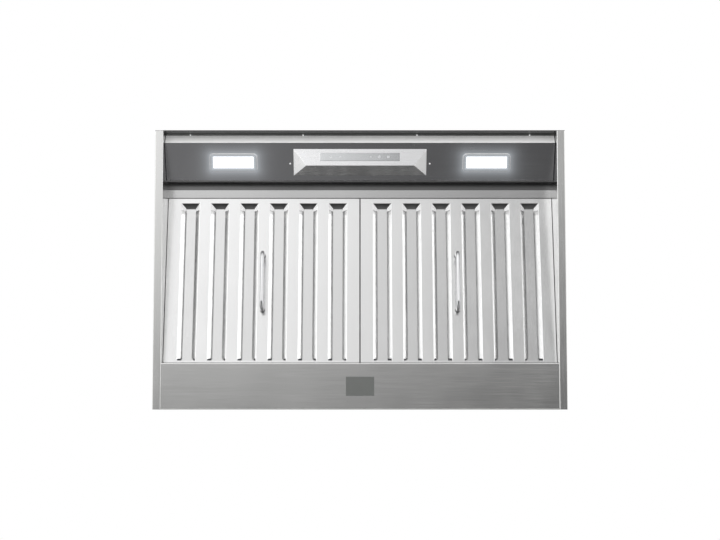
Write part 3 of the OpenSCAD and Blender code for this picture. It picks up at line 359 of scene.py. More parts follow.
# %% [markdown]
# The liner is one steel, but each of its faces looks at another part of the room, so several
# faces get a base colour of their own, lighter or darker: painted light and shade. Streaks follow
# the piece's long side, as it was brushed.

# %%
ALONG_X, ALONG_Y = (14.0, 900.0, 900.0), (900.0, 14.0, 900.0)
STEEL = (0.80, 0.80, 0.79)
steel_x = brushed_steel("stainless along x", STEEL, ALONG_X)
steel_y = brushed_steel("stainless along y", STEEL, ALONG_Y)
outer_steel = brushed_steel("outer faces", (0.54, 0.54, 0.55), ALONG_X, 0.5, 0.04, 0.25, 0.02)
inner_wall_steel = brushed_steel("inner side walls", STEEL, ALONG_Y)
filter_steel = brushed_steel("stainless filter", 0.84, ALONG_Y, 0.18, 0.02, relief=0.003)
channel_steel = brushed_steel("stainless channels", 0.75, ALONG_Y, 0.18, 0.02, relief=0.003)
# Painted light: the slot walls are the face's own sheet, given a brighter, partly matte copy of its steel.
wall_steel = brushed_steel("slot walls", 0.98, ALONG_Y, 0.2, 0.01, 0.78, 0.0)
# Painted shade: a dark copy of the steel for the filters' frames, which lie in the dark inside.
frame_painted_shade_steel = brushed_steel("filter frame", 0.3, ALONG_Y, 0.35, 0.05)
control_steel = brushed_steel("stainless control", (0.87, 0.87, 0.88), ALONG_X, 0.28, 0.02, relief=0.01)
# Painted light and shade: a brighter copy of the control's steel for its hip ends, a darker one for its rear face.
hip_painted_light_steel = brushed_steel("control ends painted light", 0.99, ALONG_X, 0.3, 0.02, 0.45, 0.01)
rear_painted_shade_steel = brushed_steel("control rear face painted shade", 0.5, ALONG_X, 0.28, 0.03, relief=0.01)
ledge_steel = brushed_steel("stainless ledge", 0.67, ALONG_X, 0.17, 0.04)
# Painted shadow: a darker copy of the ledge's steel for its front band, which lies in the panel's shadow.
band_painted_shadow_steel = brushed_steel("ledge band painted shadow", 0.2, ALONG_X, 0.22, 0.06)
# Painted shade: a darker copy of the steel for the divider, deep in the recess behind the light panel.
divider_painted_shade_steel = brushed_steel("divider painted shade", 0.38, ALONG_X, 0.3, 0.05)
# Painted shade: a very dark copy of the steel for the inside of the front panel's hem.
hem_painted_shade_steel = brushed_steel("hem inside painted shade", 0.13, ALONG_X, 0.35, 0.08)
print("steels:", len(bpy.data.materials))

# %% [markdown]
# The light panel's slope and the lamps' bezels also get a painted bluish glow round the
# lenses: emission in their own finish, strong at the lens and weaker further out. It falls off
# with the distance from the lens, which is worked out from the point on the object.

# %%
def painted_lamp_glow(material, strength):
    """Adds a painted glow round the lenses, as emission: strength x (0.3 exp(-d / 4 mm) + 0.7 exp(-d / 11 mm)) at d
    from a lens.
    """
    tree = material.node_tree
    point = xyz(tree, object_point(tree))
    lamp_y = (RIDGE_Y + LAMP_S * SLOPE_COS) / 1000
    beside = calc(tree, "ABSOLUTE", calc(tree, "SUBTRACT", calc(tree, "ABSOLUTE", point["X"]), LAMP_X / 1000))
    above = calc(tree, "DIVIDE", calc(tree, "ABSOLUTE", calc(tree, "SUBTRACT", point["Y"], lamp_y)), SLOPE_COS)
    outside = [calc(tree, "MAXIMUM", calc(tree, "SUBTRACT", value, half / 2000), 0.0)
               for value, half in ((beside, LENS_L), (above, LENS_W))]
    away = calc(tree, "SQRT", calc(tree, "ADD", *(calc(tree, "POWER", value, 2.0) for value in outside)))
    near, far = (calc(tree, "MULTIPLY", calc(tree, "EXPONENT", calc(tree, "DIVIDE", away, -reach)), part)
                 for reach, part in ((0.004, 0.3), (0.011, 0.7)))
    inputs = tree.nodes["Principled BSDF"].inputs
    glow = calc(tree, "ADD", near, far)
    tree.links.new(ramp(tree, glow, ((0.0, 0.0), (1.0, (0.86, 0.93, 1.0)))), inputs["Emission Color"])
    inputs["Emission Strength"].default_value = strength


# Painted shade: the light panel's slope gets a dark copy of the stainless, standing for the dark that it reflects.
slope_painted_shade_steel = brushed_steel("light panel slope painted shade", (0.35, 0.35, 0.36), ALONG_X, 0.22, 0.04)
bezel_steel = brushed_steel("dark bezel", (0.4, 0.4, 0.41), ALONG_X, 0.25, 0.04)
painted_lamp_glow(slope_painted_shade_steel, 0.55)
painted_lamp_glow(bezel_steel, 0.45)
print("with the glowing ones:", len(bpy.data.materials))

# %% [markdown]
# Galvanised sheet has crystals a few millimetres across, each with its own tone. Plastics and
# paint have a fine grain. The lamp's lens is lit from behind, a little brighter over each diode.

# %%
def galvanised_sheet(name, base, roughness=0.42):
    """Zinc-coated sheet: crystals vary the tone and the gloss."""
    m, tree, inputs = finish(name, roughness, 1.0)
    cells = use(tree, spangle)
    low, high = shades(base, 0.86, 1.1)
    tree.links.new(ramp(tree, cells["Value"], ((0.1, low), (0.9, high))), inputs["Base Color"])
    tree.links.new(mapped(tree, cells["Value"], 0.0, 1.0, roughness - 0.07, roughness + 0.07), inputs["Roughness"])
    bump(tree, inputs, cells["Height"], 0.15, 0.0001)
    return m


def moulded(name, base, roughness, metallic=0.0, size=0.0012, strength=0.2, **sockets):
    """A moulded, cast or painted surface with a fine grain and a slow change of tone."""
    m, tree, inputs = finish(name, roughness, metallic, **sockets)
    value = use(tree, grain, Size=size)["Value"]
    cloud = use(tree, smudges, Size=0.05)["Value"]
    low, high = shades(base, 0.92, 1.06)
    tree.links.new(mixed(tree, calc(tree, "MULTIPLY", calc(tree, "ADD", value, cloud), 0.5), low, high),
                   inputs["Base Color"])
    tree.links.new(mapped(tree, cloud, 0.0, 1.0, roughness - 0.04, roughness + 0.04), inputs["Roughness"])
    bump(tree, inputs, value, strength, 0.00008)
    return m

# %%
galvanised = galvanised_sheet("galvanised", (0.66, 0.68, 0.69))
impeller_steel = galvanised_sheet("impeller", (0.55, 0.57, 0.58), 0.38)
polished = moulded("polished rod", (0.62, 0.62, 0.63), 0.12, 1.0, strength=0.03)
fastener = moulded("plated screws", 0.93, 0.2, 1.0, strength=0.05)
# Painted light: the panel's screw heads get a half-matte finish that glows a little.
screw_heads_painted_light = moulded("screw heads painted light", 0.95, 0.3, 0.5, strength=0.05, Emission_Strength=0.25)
shaft_steel = moulded("ground steel", 0.7, 0.18, 1.0, strength=0.05)
lamp_shell = moulded("cast shell", 0.7, 0.5, 1.0, size=0.0008, strength=0.4)
badge_grey = moulded("badge grey", (0.155, 0.162, 0.155), 0.42, strength=0.25)
black_plastic = moulded("black plastic", (0.035, 0.035, 0.04), 0.45)
# Painted light: the bezels' outer rims get a pale finish that glows a little.
rim_painted_light = moulded("bezel rim painted light", 0.6, 0.4, 0.2, strength=0.05, Emission_Strength=0.1)
# Painted light: the slot walls' front ends get a white finish that glows a little.
wall_ends_painted_light = moulded("slot wall front ends painted light", 0.93, 0.45, strength=0.05, Emission_Strength=0.28)
# Painted shade: a dark, faintly glowing grey for the sheets over the channels' floor holes, standing for the dark
# inside.
shade_sheet_grey = moulded("shaded inner sheet", 0.16, 0.6, Emission_Strength=0.018)
foot_grey = moulded("dark feet", 0.05, 0.35)
insulation = moulded("wire insulation", 0.03, 0.4)
ivory = moulded("ivory plastic", (0.8, 0.78, 0.7), 0.4)
led_white = moulded("white laminate", (0.85, 0.85, 0.82), 0.4)
motor_enamel = moulded("motor enamel", (0.12, 0.13, 0.14), 0.32, size=0.003, Coat_Weight=0.3)
glass_grey = moulded("touch glass", (0.58, 0.59, 0.6), 0.2, 1.0, size=0.0004, strength=0.02, Coat_Weight=0.5)
mark_white = moulded("printed marks", (0.9, 0.92, 0.94), 0.5)
# Painted light: the light panel's facet gets a white matte finish that glows a little.
facet_painted_light = moulded("facet painted light", (0.96, 0.96, 0.95), 0.4, 0.0, size=0.0006, strength=0.1,
                     Emission_Color=colour4(1.0), Emission_Strength=0.16)
print("with sheet, plastics and paint:", len(bpy.data.materials))

# %%
def painted_side_shade(material, left, right, reach):
    """Painted shade: base colour x f, where f goes from left at x = -reach to right at x = reach, so the finish is
    darker on the right, where the room is darker.
    """
    tree = material.node_tree
    base = tree.nodes["Principled BSDF"].inputs["Base Color"]
    tone = mixed(tree, mapped(tree, xyz(tree, object_point(tree))["X"], -reach, reach), left, right)
    tree.links.new(mixed(tree, 1.0, base.links[0].from_socket, tone, "MULTIPLY"), base)


# Painted shade: these finishes darken from left to right, as the room's light does.
painted_side_shade(control_steel, 1.02, 0.86, 0.1)
painted_side_shade(hip_painted_light_steel, 1.02, 0.96, 0.1)
painted_side_shade(glass_grey, 1.22, 0.84, 0.07)
painted_side_shade(wall_ends_painted_light, 1.0, 0.85, 0.3)
painted_side_shade(inner_wall_steel, 1.15, 0.7, 0.35)

# %%
board_green, tree, inputs = finish("circuit board", 0.38)
traces = node(tree, "TexBrick", {"Vector": scaled(tree, object_point(tree), 60.0), "Scale": 4.0,
                                 "Mortar Size": 0.08, "Color1": colour4((0.03, 0.2, 0.1)),
                                 "Color2": colour4((0.04, 0.26, 0.13)),
                                 "Mortar": colour4((0.09, 0.42, 0.22))})
tree.links.new(traces.outputs["Color"], inputs["Base Color"])
bump(tree, inputs, traces.outputs["Fac"], 0.2, 0.0001)

lens_light, tree, inputs = finish("lit lens", 0.35, Base_Color=colour4((0.9, 0.92, 0.95)), Emission_Strength=1.2)
point = xyz(tree, object_point(tree))
led_pitch = LENS_L / 6000
wave = calc(tree, "COSINE", calc(tree, "MULTIPLY", calc(tree, "SUBTRACT", point["X"], LAMP_X / 1000),
                                 2 * math.pi / led_pitch))
spots = mapped(tree, wave, -1.0, 1.0)
tree.links.new(mixed(tree, spots, (0.9, 0.95, 1.0), (1.0, 1.0, 1.0)), inputs["Emission Color"])
bump(tree, inputs, use(tree, grain, Size=0.0006)["Value"], 0.1, 0.00005)
print("finishes:", len(bpy.data.materials))

# %% [markdown]
# ## Shape helpers
#
# Nearly everything here is folded sheet: a thin strip whose section is a path with rounded
# bends, carried along a straight line. `folded` makes the section and `swept` carries it.
# All of them work on whole arrays and return points and faces in millimetres.

# %%
def grid_quads(rows, columns, wrap_rows=False, wrap_columns=False):
    """Quads between neighbours in a grid whose point number is row x columns + column."""
    r = np.arange(rows if wrap_rows else rows - 1)[:, None]
    c = np.arange(columns if wrap_columns else columns - 1)[None, :]
    r2, c2 = (r + 1) % rows, (c + 1) % columns
    return np.stack([r * columns + c, r * columns + c2, r2 * columns + c2, r2 * columns + c], -1).reshape(-1, 4)


def joined(*parts):
    """Several (points, faces) pairs as one."""
    offsets = np.cumsum([0] + [len(points) for points, _ in parts])
    faces = [[i + offset for i in face] for (_, fs), offset in zip(parts, offsets) for face in np.asarray(fs, object)]
    return np.concatenate([points for points, _ in parts]), faces


def shifted(part, *move):
    """A part moved by x, y, z."""
    return part[0] + np.array(move), part[1]


def mirrored_x(part):
    """A part mirrored left to right."""
    return part[0] * (-1.0, 1.0, 1.0), part[1]


def sided(part, side):
    """A right-hand part as it is, or mirrored for the left side, -1."""
    return part if side > 0 else mirrored_x(part)


print("quads of a closed 3 x 4 grid:", len(grid_quads(3, 4, True, True)))

# %%
def tilted(part, y, z, degrees):
    """A part in a sloping frame, turned about X by the angle and moved by y and z."""
    cos, sin = cos_sin(degrees)
    x, s, h = part[0].T
    return np.stack([x, y + s * cos - h * sin, z + s * sin + h * cos], 1), part[1]


def untilted(c, y, z, degrees):
    """The other way round, for the points c: how far up the slope they lie, and how high over it."""
    cos, sin = cos_sin(degrees)
    y, z = c[:, 1] - y, c[:, 2] - z
    return y * cos + z * sin, z * cos - y * sin


def on_panel(part):
    """From the light panel's frame, with s up its slope from the ridge, to the object's frame."""
    return tilted(part, RIDGE_Y, RIDGE_Z, SLOPE)


def on_touch_face(part):
    """From the touch face's frame to the object's frame."""
    return on_panel(tilted(part, CONTROL_S, 0.0, -TOUCH_ANGLE))


def on_filter(part, side):
    """From a filter's frame, with s from its hinge bead towards the rear, to the object's frame."""
    return shifted(tilted(part, PIVOT_Y, PIVOT_Z, -FILTER_SLOPE), side * FILTER_X, 0.0, 0.0)

# %%
def left_of(d):
    """A direction turned a quarter to the left."""
    return np.array([-d[1], d[0]])


def folded(path, t, r, steps=6):
    """The two sides of a folded sheet. The path runs along side a, and side b lies t to its left. r is the bends'
    inner radius, or a list with one for each bend.
    At a corner that turns by the angle q, the arc on side a has the radius R = r + t where the sheet turns left and
    R = r where it turns right. Its centre is the corner, minus R tan(|q|/2) along the path, plus R to the inner side;
    side b is side a plus t along the arc's normal."""
    path = np.asarray(path, float)
    ds = np.diff(path, axis=0)
    ds /= np.linalg.norm(ds, axis=1)[:, None]
    a = [path[:1]]
    normals = [left_of(ds[0])[None]]
    for corner, d0, d1, inner in zip(path[1:-1], ds, ds[1:], np.broadcast_to(r, len(path) - 2)):
        q = math.atan2(d0[0] * d1[1] - d0[1] * d1[0], d0 @ d1)
        sign = math.copysign(1.0, q)
        radius = inner + t if sign > 0 else inner
        n0 = left_of(d0)
        centre = corner - d0 * radius * math.tan(abs(q) / 2) + sign * n0 * radius
        turn = np.linspace(0.0, q, steps + 1)
        normal = np.stack([n0[0] * np.cos(turn) - n0[1] * np.sin(turn), n0[0] * np.sin(turn) + n0[1] * np.cos(turn)], 1)
        a.append(centre - sign * radius * normal)
        normals.append(normal)
    a.append(path[-1:])
    normals.append(left_of(ds[-1])[None])
    a, normals = np.concatenate(a), np.concatenate(normals)
    return a, a + t * normals


def swept(sides, low, high, axis="x"):
    """A section's two sides carried along X (section in y, z) or Y (section in x, z) from low to high.
    low and high are numbers, or functions of a side's points where the sheet's ends are cut at a slant."""
    n = len(sides[0])
    rows = []
    for side, end in ((0, low), (0, high), (1, high), (1, low)):
        p = sides[side]
        at = np.broadcast_to(end(p) if callable(end) else float(end), n)
        rows.append(np.stack([at, p[:, 0], p[:, 1]] if axis == "x" else [p[:, 0], at, p[:, 1]], 1))
    ends = np.arange(4)[None, :] * n + np.array([[0], [n - 1]])
    return np.concatenate(rows), np.concatenate([grid_quads(4, n, wrap_rows=True), ends])


print("points on a fold's side:", len(folded([(9, 0), (0, 0), (0, 9)], SHEET, 1.0)[0]))

# %%
def windowed(xs, ys, solid, low, high):
    """A flat sheet from height low to high on the grid of lines xs and ys. solid[i, j] says whether the cell between
    lines i, i + 1 and j, j + 1 is there; walls stand wherever a cell meets a missing one."""
    gx, gy = np.meshgrid(xs, ys, indexing="ij")
    points = np.concatenate([np.stack([gx, gy, np.full(gx.shape, z)], -1).reshape(-1, 3) for z in (low, high)])
    count, m = gx.size, len(ys)
    i, j = np.nonzero(solid)
    bottom = np.stack([i * m + j, i * m + j + 1, (i + 1) * m + j + 1, (i + 1) * m + j], 1)
    around = np.pad(solid, 1)
    wi, wj = np.nonzero(around[:-1, 1:-1] != around[1:, 1:-1])
    vi, vj = np.nonzero(around[1:-1, :-1] != around[1:-1, 1:])
    edges = np.concatenate([np.stack([wi * m + wj, wi * m + wj + 1], 1), np.stack([vi * m + vj, (vi + 1) * m + vj], 1)])
    walls = np.concatenate([edges, edges[:, ::-1] + count], 1)
    return points, np.concatenate([bottom, bottom + count, walls])


def block(low, high):
    """A box between two corners."""
    (x0, y0, z0), (x1, y1, z1) = low, high
    return windowed(np.array([x0, x1]), np.array([y0, y1]), np.ones((1, 1), bool), z0, z1)


print("faces of a block:", len(block((0, 0, 0), (1, 1, 1))[1]))

# %%
def lathe(profile, around, closed=False):
    """A profile of (radius, height) turned round Z: point = (r cos u, r sin u, z)."""
    u = np.linspace(0, 2 * math.pi, around, endpoint=False)[:, None]
    r, z = np.asarray(profile, float).T
    points = np.stack([r * np.cos(u), r * np.sin(u), np.broadcast_to(z, (around, len(z)))], -1).reshape(-1, 3)
    faces = [list(f) for f in grid_quads(around, len(r), wrap_rows=True, wrap_columns=closed)]
    if not closed:
        faces += [[k * len(r) + c for k in range(around)] for c in (0, len(r) - 1) if r[c] > 1e-6]
    return points, faces


def rounded_loop(half_l, half_w, r, steps=5):
    """A rectangle with rounded corners, as one loop of points."""
    r = max(r, 0.02)
    q = np.linspace(0, math.pi / 2, steps + 1)
    corners = [(half_l - r, half_w - r), (r - half_l, half_w - r), (r - half_l, r - half_w), (half_l - r, r - half_w)]
    return np.concatenate([np.stack([x + r * np.cos(q + k * math.pi / 2), y + r * np.sin(q + k * math.pi / 2)], 1)
                           for k, (x, y) in enumerate(corners)])


def framed(profile, half_l, half_w, corner, closed=True):
    """A profile of (offset, height) carried round a rounded rectangle: the loop at each profile point is the
    rectangle grown by the offset, with its corner radius grown as much."""
    loops = [rounded_loop(half_l + o, half_w + o, corner + o) for o, _ in profile]
    n = len(loops[0])
    points = np.concatenate([np.column_stack([loop, np.full(n, z)]) for loop, (_, z) in zip(loops, profile)])
    faces = [list(f) for f in grid_quads(len(loops), n, wrap_rows=closed, wrap_columns=True)]
    if not closed:
        faces += [list(range(n)), list(range(len(points) - n, len(points)))]
    return points, faces


def tube(path, radius, around):
    """A round rod along a path in the plane x = 0: each ring is p + r (n cos u + X sin u), with n across the path."""
    path = np.asarray(path, float)
    tangent = np.gradient(path, axis=0)
    tangent /= np.linalg.norm(tangent, axis=1)[:, None]
    n = np.stack([-tangent[:, 1], tangent[:, 0]], 1)
    u = np.linspace(0, 2 * math.pi, around, endpoint=False)
    ring = path[:, None, :] + radius * n[:, None, :] * np.cos(u)[None, :, None]
    x = np.broadcast_to(radius * np.sin(u), ring.shape[:2])
    points = np.concatenate([x[..., None], ring], -1).reshape(-1, 3)
    faces = [list(f) for f in grid_quads(len(path), around, wrap_columns=True)]
    return points, faces + [list(range(around)), list(range(len(points) - around, len(points)))]


# %% [markdown]
# `piece` turns points and faces into a finished object: doubled points merged, loose ones
# dropped, faces turned outward, a small bevel on the sheet's edges so that they catch light,
# its body to ride on, its material slot, and the CAD node that it stands for.

# %%
def raw_object(name, part):
    """A closed mesh object from a part, in metres."""
    points, faces = part
    mesh = bpy.data.meshes.new(name)
    mesh.from_pydata((np.asarray(points) / 1000).tolist(), [], [list(map(int, f)) for f in faces])
    shape = bmesh.new()
    shape.from_mesh(mesh)
    bmesh.ops.remove_doubles(shape, verts=shape.verts, dist=2e-6)
    bmesh.ops.delete(shape, geom=[v for v in shape.verts if not v.link_faces], context="VERTS")
    bmesh.ops.recalc_face_normals(shape, faces=shape.faces)
    shape.to_mesh(mesh)
    shape.free()
    obj = bpy.data.objects.new(name, mesh)
    bpy.context.scene.collection.objects.link(obj)
    return obj


def cut(obj, part):
    """Cuts a part out of an object, and keeps the result as its plain mesh."""
    tool = raw_object("cutter", part)
    boolean = obj.modifiers.new("cut", "BOOLEAN")
    boolean.operation, boolean.object, boolean.solver = "DIFFERENCE", tool, "EXACT"
    bpy.context.view_layer.update()
    result = bpy.data.meshes.new_from_object(obj.evaluated_get(bpy.context.evaluated_depsgraph_get()))
    obj.modifiers.clear()
    old, obj.data = obj.data, result
    result.name = old.name.split(".")[0]
    bpy.data.meshes.remove(old)
    bpy.data.objects.remove(tool)


# %%
made = {}
SHARP_ANGLE = math.radians(38.0)  # folds turned by more than this are edges


def piece(name, part, materials, body="liner", stands_for=(), edge=0.2, holes=(), pick=None):
    """An object from a part in millimetres. edge is the bevel's width, holes are parts to cut out, and pick chooses
    each face's material from its centre in millimetres."""
    obj = raw_object(name, part)
    for hole in holes:
        cut(obj, hole)
    mesh = obj.data
    for m in materials if isinstance(materials, (list, tuple)) else [materials]:
        mesh.materials.append(m)
    if pick:
        centres = np.zeros(len(mesh.polygons) * 3)
        mesh.polygons.foreach_get("center", centres)
        mesh.polygons.foreach_set("material_index", pick(centres.reshape(-1, 3) * 1000).astype(np.int32))
    mesh.shade_smooth()
    mesh.set_sharp_from_angle(angle=SHARP_ANGLE)
    if edge:
        bevel = obj.modifiers.new("edges", "BEVEL")
        bevel.width, bevel.segments, bevel.limit_method = edge / 1000, 2, "ANGLE"
        bevel.angle_limit = SHARP_ANGLE
    even = obj.modifiers.new("flat faces", "WEIGHTED_NORMAL")
    even.keep_sharp = True
    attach(obj, body)
    if stands_for:
        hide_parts(*([stands_for] if isinstance(stands_for, str) else stands_for))
    made[name] = len(mesh.polygons)
    print(f"{name}: {made[name]} faces on {body}")
    return obj


def softened(node_name, material, edge):
    """A copy of a CAD node with its corners merged and its edges rounded, as pressed sheet has."""
    shape = bmesh.new()
    shape.from_mesh(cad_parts[node_name].data)
    bmesh.ops.remove_doubles(shape, verts=shape.verts, dist=2e-6)
    bmesh.ops.dissolve_limit(shape, angle_limit=math.radians(0.5), verts=shape.verts, edges=shape.edges)
    shape.verts.index_update()
    part = np.array([v.co for v in shape.verts]) * 1000, [[v.index for v in f.verts] for f in shape.faces]
    shape.free()
    piece(f"{node_name}_sheet", part, material, stands_for=node_name, edge=edge)

# %% [markdown]
# ## Liner
#
# Each side is one strip: inner wall, flat rim flange and outer wall, with tight bends that a
# press brake leaves. The strips stop a sheet's thickness short of the front, where the front
# panel closes them, and the inner walls do so at the rear too. The front panel's lower edge is
# hemmed: folded flat onto itself, so no sharp edge meets a hand. The outer faces, which only
# the cabinet sees, are duller than the inner ones.

# %%
BEND_R = 0.6
LIP_H, CUTTER, TINY = 4.0, 4.0, 0.02  # the lip's upright part, half a cutter's length, and a tolerance


def screw_hole(x, y, z, r):
    """A short rod along X that cuts a round hole in a side wall."""
    points, faces = lathe([(r, -CUTTER), (r, CUTTER)], 32)
    return points[:, [2, 1, 0]] + (x, y, z), faces


def side_strip(side):
    """The right-hand side's section in x and z, swept along Y; side -1 mirrors it."""
    section = folded([(OPENING_HALF, INNER_WALL_H), (OPENING_HALF, 0.0), (HALF_W, 0.0), (HALF_W, LINER_H)],
                     SHEET, BEND_R)
    rear = lambda p: np.where((p[:, 1] > SHEET + TINY / 2) & (p[:, 0] < WALL_HALF - TINY / 2),
                              HALF_D - SHEET, HALF_D)
    return sided(swept(section, SHEET - HALF_D, rear, "y"), side)


def side_part(c):
    """0 for the flange, 1 for the inner wall and 2 for the outer wall's outer face."""
    upright = c[:, 2] > 2 * SHEET
    return np.where(upright & (np.abs(c[:, 0]) > HALF_W - TINY), 2, upright & (np.abs(c[:, 0]) < WALL_HALF - 0.05))


for side, word in SIDES:
    holes = [screw_hole(side * HALF_W, y, SCREW_HOLE_Z, SCREW_HOLE_R) for y in (-SCREW_HOLE_Y, SCREW_HOLE_Y)]
    piece(f"side_sheet_{word}", side_strip(side), [steel_y, inner_wall_steel, outer_steel],
          stands_for=f"side_panel_{word}", holes=holes, pick=side_part)

# %%
front = -HALF_D


def front_part(c):
    """0 for the lip, 1 for the hem's inside, whose dark finish is painted shade, and 2 for the front face."""
    hem = (c[:, 2] < HEM_H + 0.1) & ((c[:, 1] > front + 1.2 * SHEET) | (c[:, 2] < 0.9 * SHEET))
    return np.where((c[:, 2] > 2 * HEM_H) & (c[:, 1] < front + TINY), 2, hem)


arc = np.linspace(0, math.pi, 9)
corner_section = folded([(WALL_HALF, 0.0), (HALF_W, 0.0), (HALF_W, LINER_H)], SHEET, BEND_R)
sheet_ends = swept(corner_section, front, front + SHEET, "y")
fold = np.stack([front + SHEET - SHEET * np.cos(arc), SHEET - SHEET * np.sin(arc)], 1)
hem_out = np.concatenate([[(front, LIP_H)], fold, [(front + 2 * SHEET, HEM_H)]])
hem_in = np.concatenate([[(front + SHEET, LIP_H)], np.tile([front + SHEET, SHEET], (len(arc), 1)),
                         [(front + SHEET, HEM_H)]])
lip = swept((hem_out, hem_in), -OPENING_HALF, OPENING_HALF)
plate = block((-WALL_HALF, front, SHEET), (WALL_HALF, front + SHEET, LINER_H))
# The hem's inside gets the painted shade.
piece("front_sheet", joined(lip, plate, sheet_ends, mirrored_x(sheet_ends)), [steel_x, hem_painted_shade_steel, outer_steel],
      stands_for="front_panel", pick=front_part)
rear_plate = block((-WALL_HALF, PAN_REAR_Y, SHEET), (WALL_HALF, HALF_D, LINER_H))
rear_foot = block((-OPENING_HALF, PAN_REAR_Y, 0.0), (OPENING_HALF, HALF_D, SHEET + 0.5))
piece("rear_sheet", joined(rear_plate, rear_foot), [steel_x, outer_steel], stands_for="rear_panel",
      pick=lambda c: (c[:, 1] > HALF_D - TINY) & (c[:, 2] > 2 * SHEET))

# %% [markdown]
# The rear pan is a Z of sheet: a shelf that carries the filters' catches, an upstand, the flat
# plate that is seen from below, and a turned-up rear edge. A small bare plate sits on it.

# %%
pan = folded([(PAN_Y + SHELF_D, SHELF_Z), (PAN_Y, SHELF_Z), (PAN_Y, PAN_Z), (PAN_REAR_Y, PAN_Z),
              (PAN_REAR_Y, SHELF_Z - 2 * SHEET)], SHEET, 1.0)
piece("rear_pan_sheet", swept(pan, -OPENING_HALF, OPENING_HALF), steel_x, stands_for="rear_pan")
BADGE_EDGE, BADGE_CORNER = 0.25, 0.6
plate = framed([(0.0, 0.0), (0.0, BADGE_EDGE - BADGE_T), (-BADGE_EDGE, -BADGE_T)], BADGE_L / 2, BADGE_W / 2,
               BADGE_CORNER, closed=False)
piece("bare_plate", shifted(plate, 0.0, (PAN_Y + HALF_D) / 2, PAN_Z), badge_grey,
      stands_for="badge_plate", edge=0)

# %% [markdown]
# ## Light panel, ledge and divider
#
# The light panel is bent three times: a narrow flange that is screwed up behind the lip, a
# short facet, the long slope, and an upturned rear edge. The facet's brightness is painted light,
# a white finish that glows a little, and the slope's darkness is painted shade, a dark copy of the
# liner's steel. The ledge behind it ends in a rolled bead, which is what the filters hang and turn
# on. Its front band, BAND_D deep, lies in the panel's shadow, and that shadow is painted: the band
# has a darker copy of the ledge's steel.

# %%
tan_slope = math.tan(math.radians(SLOPE))
panel = folded([(PANEL_FRONT_Y, HEM_H), (FACET_Y, HEM_H), (RIDGE_Y, RIDGE_Z),
                (DIVIDER_Y - SHEET, PANEL_END_Z - SHEET * tan_slope),
                (DIVIDER_Y - SHEET, PANEL_END_Z + PANEL_UPTURN)], SHEET, (0.8, 0.8, 3.0))
LAMP_CLEAR, CABLE_HALF_L, CABLE_HALF_W = 0.3, 15.0, 4.0


def panel_hole(x, s, half_l, half_w):
    """A block that cuts a rectangular hole in the slope."""
    return on_panel(shifted(block((-half_l, -half_w, -3.0), (half_l, half_w, 4.0)), x, s, 0.0))


lamp_holes = [panel_hole(side * LAMP_X, LAMP_S, *(half / 2 + SLEEVE_WALL + LAMP_CLEAR for half in (LENS_L, LENS_W)))
              for side, _ in SIDES]
cable_hole = panel_hole(0.0, CONTROL_S + CONTROL_W / 2, CABLE_HALF_L, CABLE_HALF_W)
# The slope's dark finish is painted shade, and the facet's glowing white one is painted light.
piece("light_panel_sheet", swept(panel, -PANEL_HALF, PANEL_HALF), [slope_painted_shade_steel, facet_painted_light, steel_x],
      stands_for="light_panel", holes=[*lamp_holes, cable_hole],
      pick=lambda c: np.select([c[:, 1] < FACET_Y - 0.3, c[:, 1] < RIDGE_Y - 0.4], [2, 1], 0))

divider = folded([(DIVIDER_Y, PANEL_END_Z), (DIVIDER_Y, LINER_H - 2 * SHEET),
                  (DIVIDER_Y + BRACKET_LEG, LINER_H - 2 * SHEET)], SHEET, 0.8)
# The divider gets the painted shade.
piece("divider_sheet", swept(divider, -OPENING_HALF, OPENING_HALF), divider_painted_shade_steel, stands_for="divider_panel")

BAND_D = 11.9
ledge_a, ledge_b = folded([(DIVIDER_Y, LEDGE_Z + BRACKET_LEG), (DIVIDER_Y, LEDGE_Z), (DIVIDER_Y + BAND_D, LEDGE_Z),
                           (PIVOT_Y, LEDGE_Z)], SHEET, 0.8)
curl = np.linspace(-math.pi / 2, math.pi * 0.95, 24)[1:, None]
around = np.concatenate([np.cos(curl), np.sin(curl)], 1)
pivot = np.array([PIVOT_Y, PIVOT_Z])
ledge = [np.concatenate([side, pivot + r * around]) for side, r in ((ledge_a, BEAD_R), (ledge_b, BEAD_R - SHEET))]
# The ledge's front band gets the painted shadow.
piece("ledge_sheet", swept(ledge, -OPENING_HALF, OPENING_HALF), [ledge_steel, band_painted_shadow_steel], stands_for="filter_channel",
      edge=0.1, pick=lambda c: c[:, 1] < DIVIDER_Y + BAND_D)

# %% [markdown]
# ## Screws
#
# Small pan heads with a round socket: lathed profiles, placed in the panel's flange and beside
# the control. Washer heads hold the roof, the blower's box and the collar.

# %%
SCREW_R, SCREW_H = 1.5, 1.0
head = [(0.0, -0.55), (0.55, -0.55), (0.6, -SCREW_H + 0.05), (0.7, -SCREW_H), (1.1, -SCREW_H + 0.12), (1.4, -0.5),
        (SCREW_R, -0.1), (SCREW_R, 0.0), (1.0, 0.0), (1.0, 4.8), (0.0, 5.0)]
screw = lathe(head, 24)
flange_screws = [shifted(screw, x, FLANGE_SCREW_Y, HEM_H) for x in FLANGE_SCREWS_X]
slope_screws = [on_panel(shifted(screw, side * CONTROL_SCREW_X, CONTROL_SCREW_S, 0.0)) for side, _ in SIDES]
# The panel's screw heads glow: painted light.
piece("panel_screws", joined(*flange_screws, *slope_screws), screw_heads_painted_light,
      stands_for="light_panel_screws", edge=0)

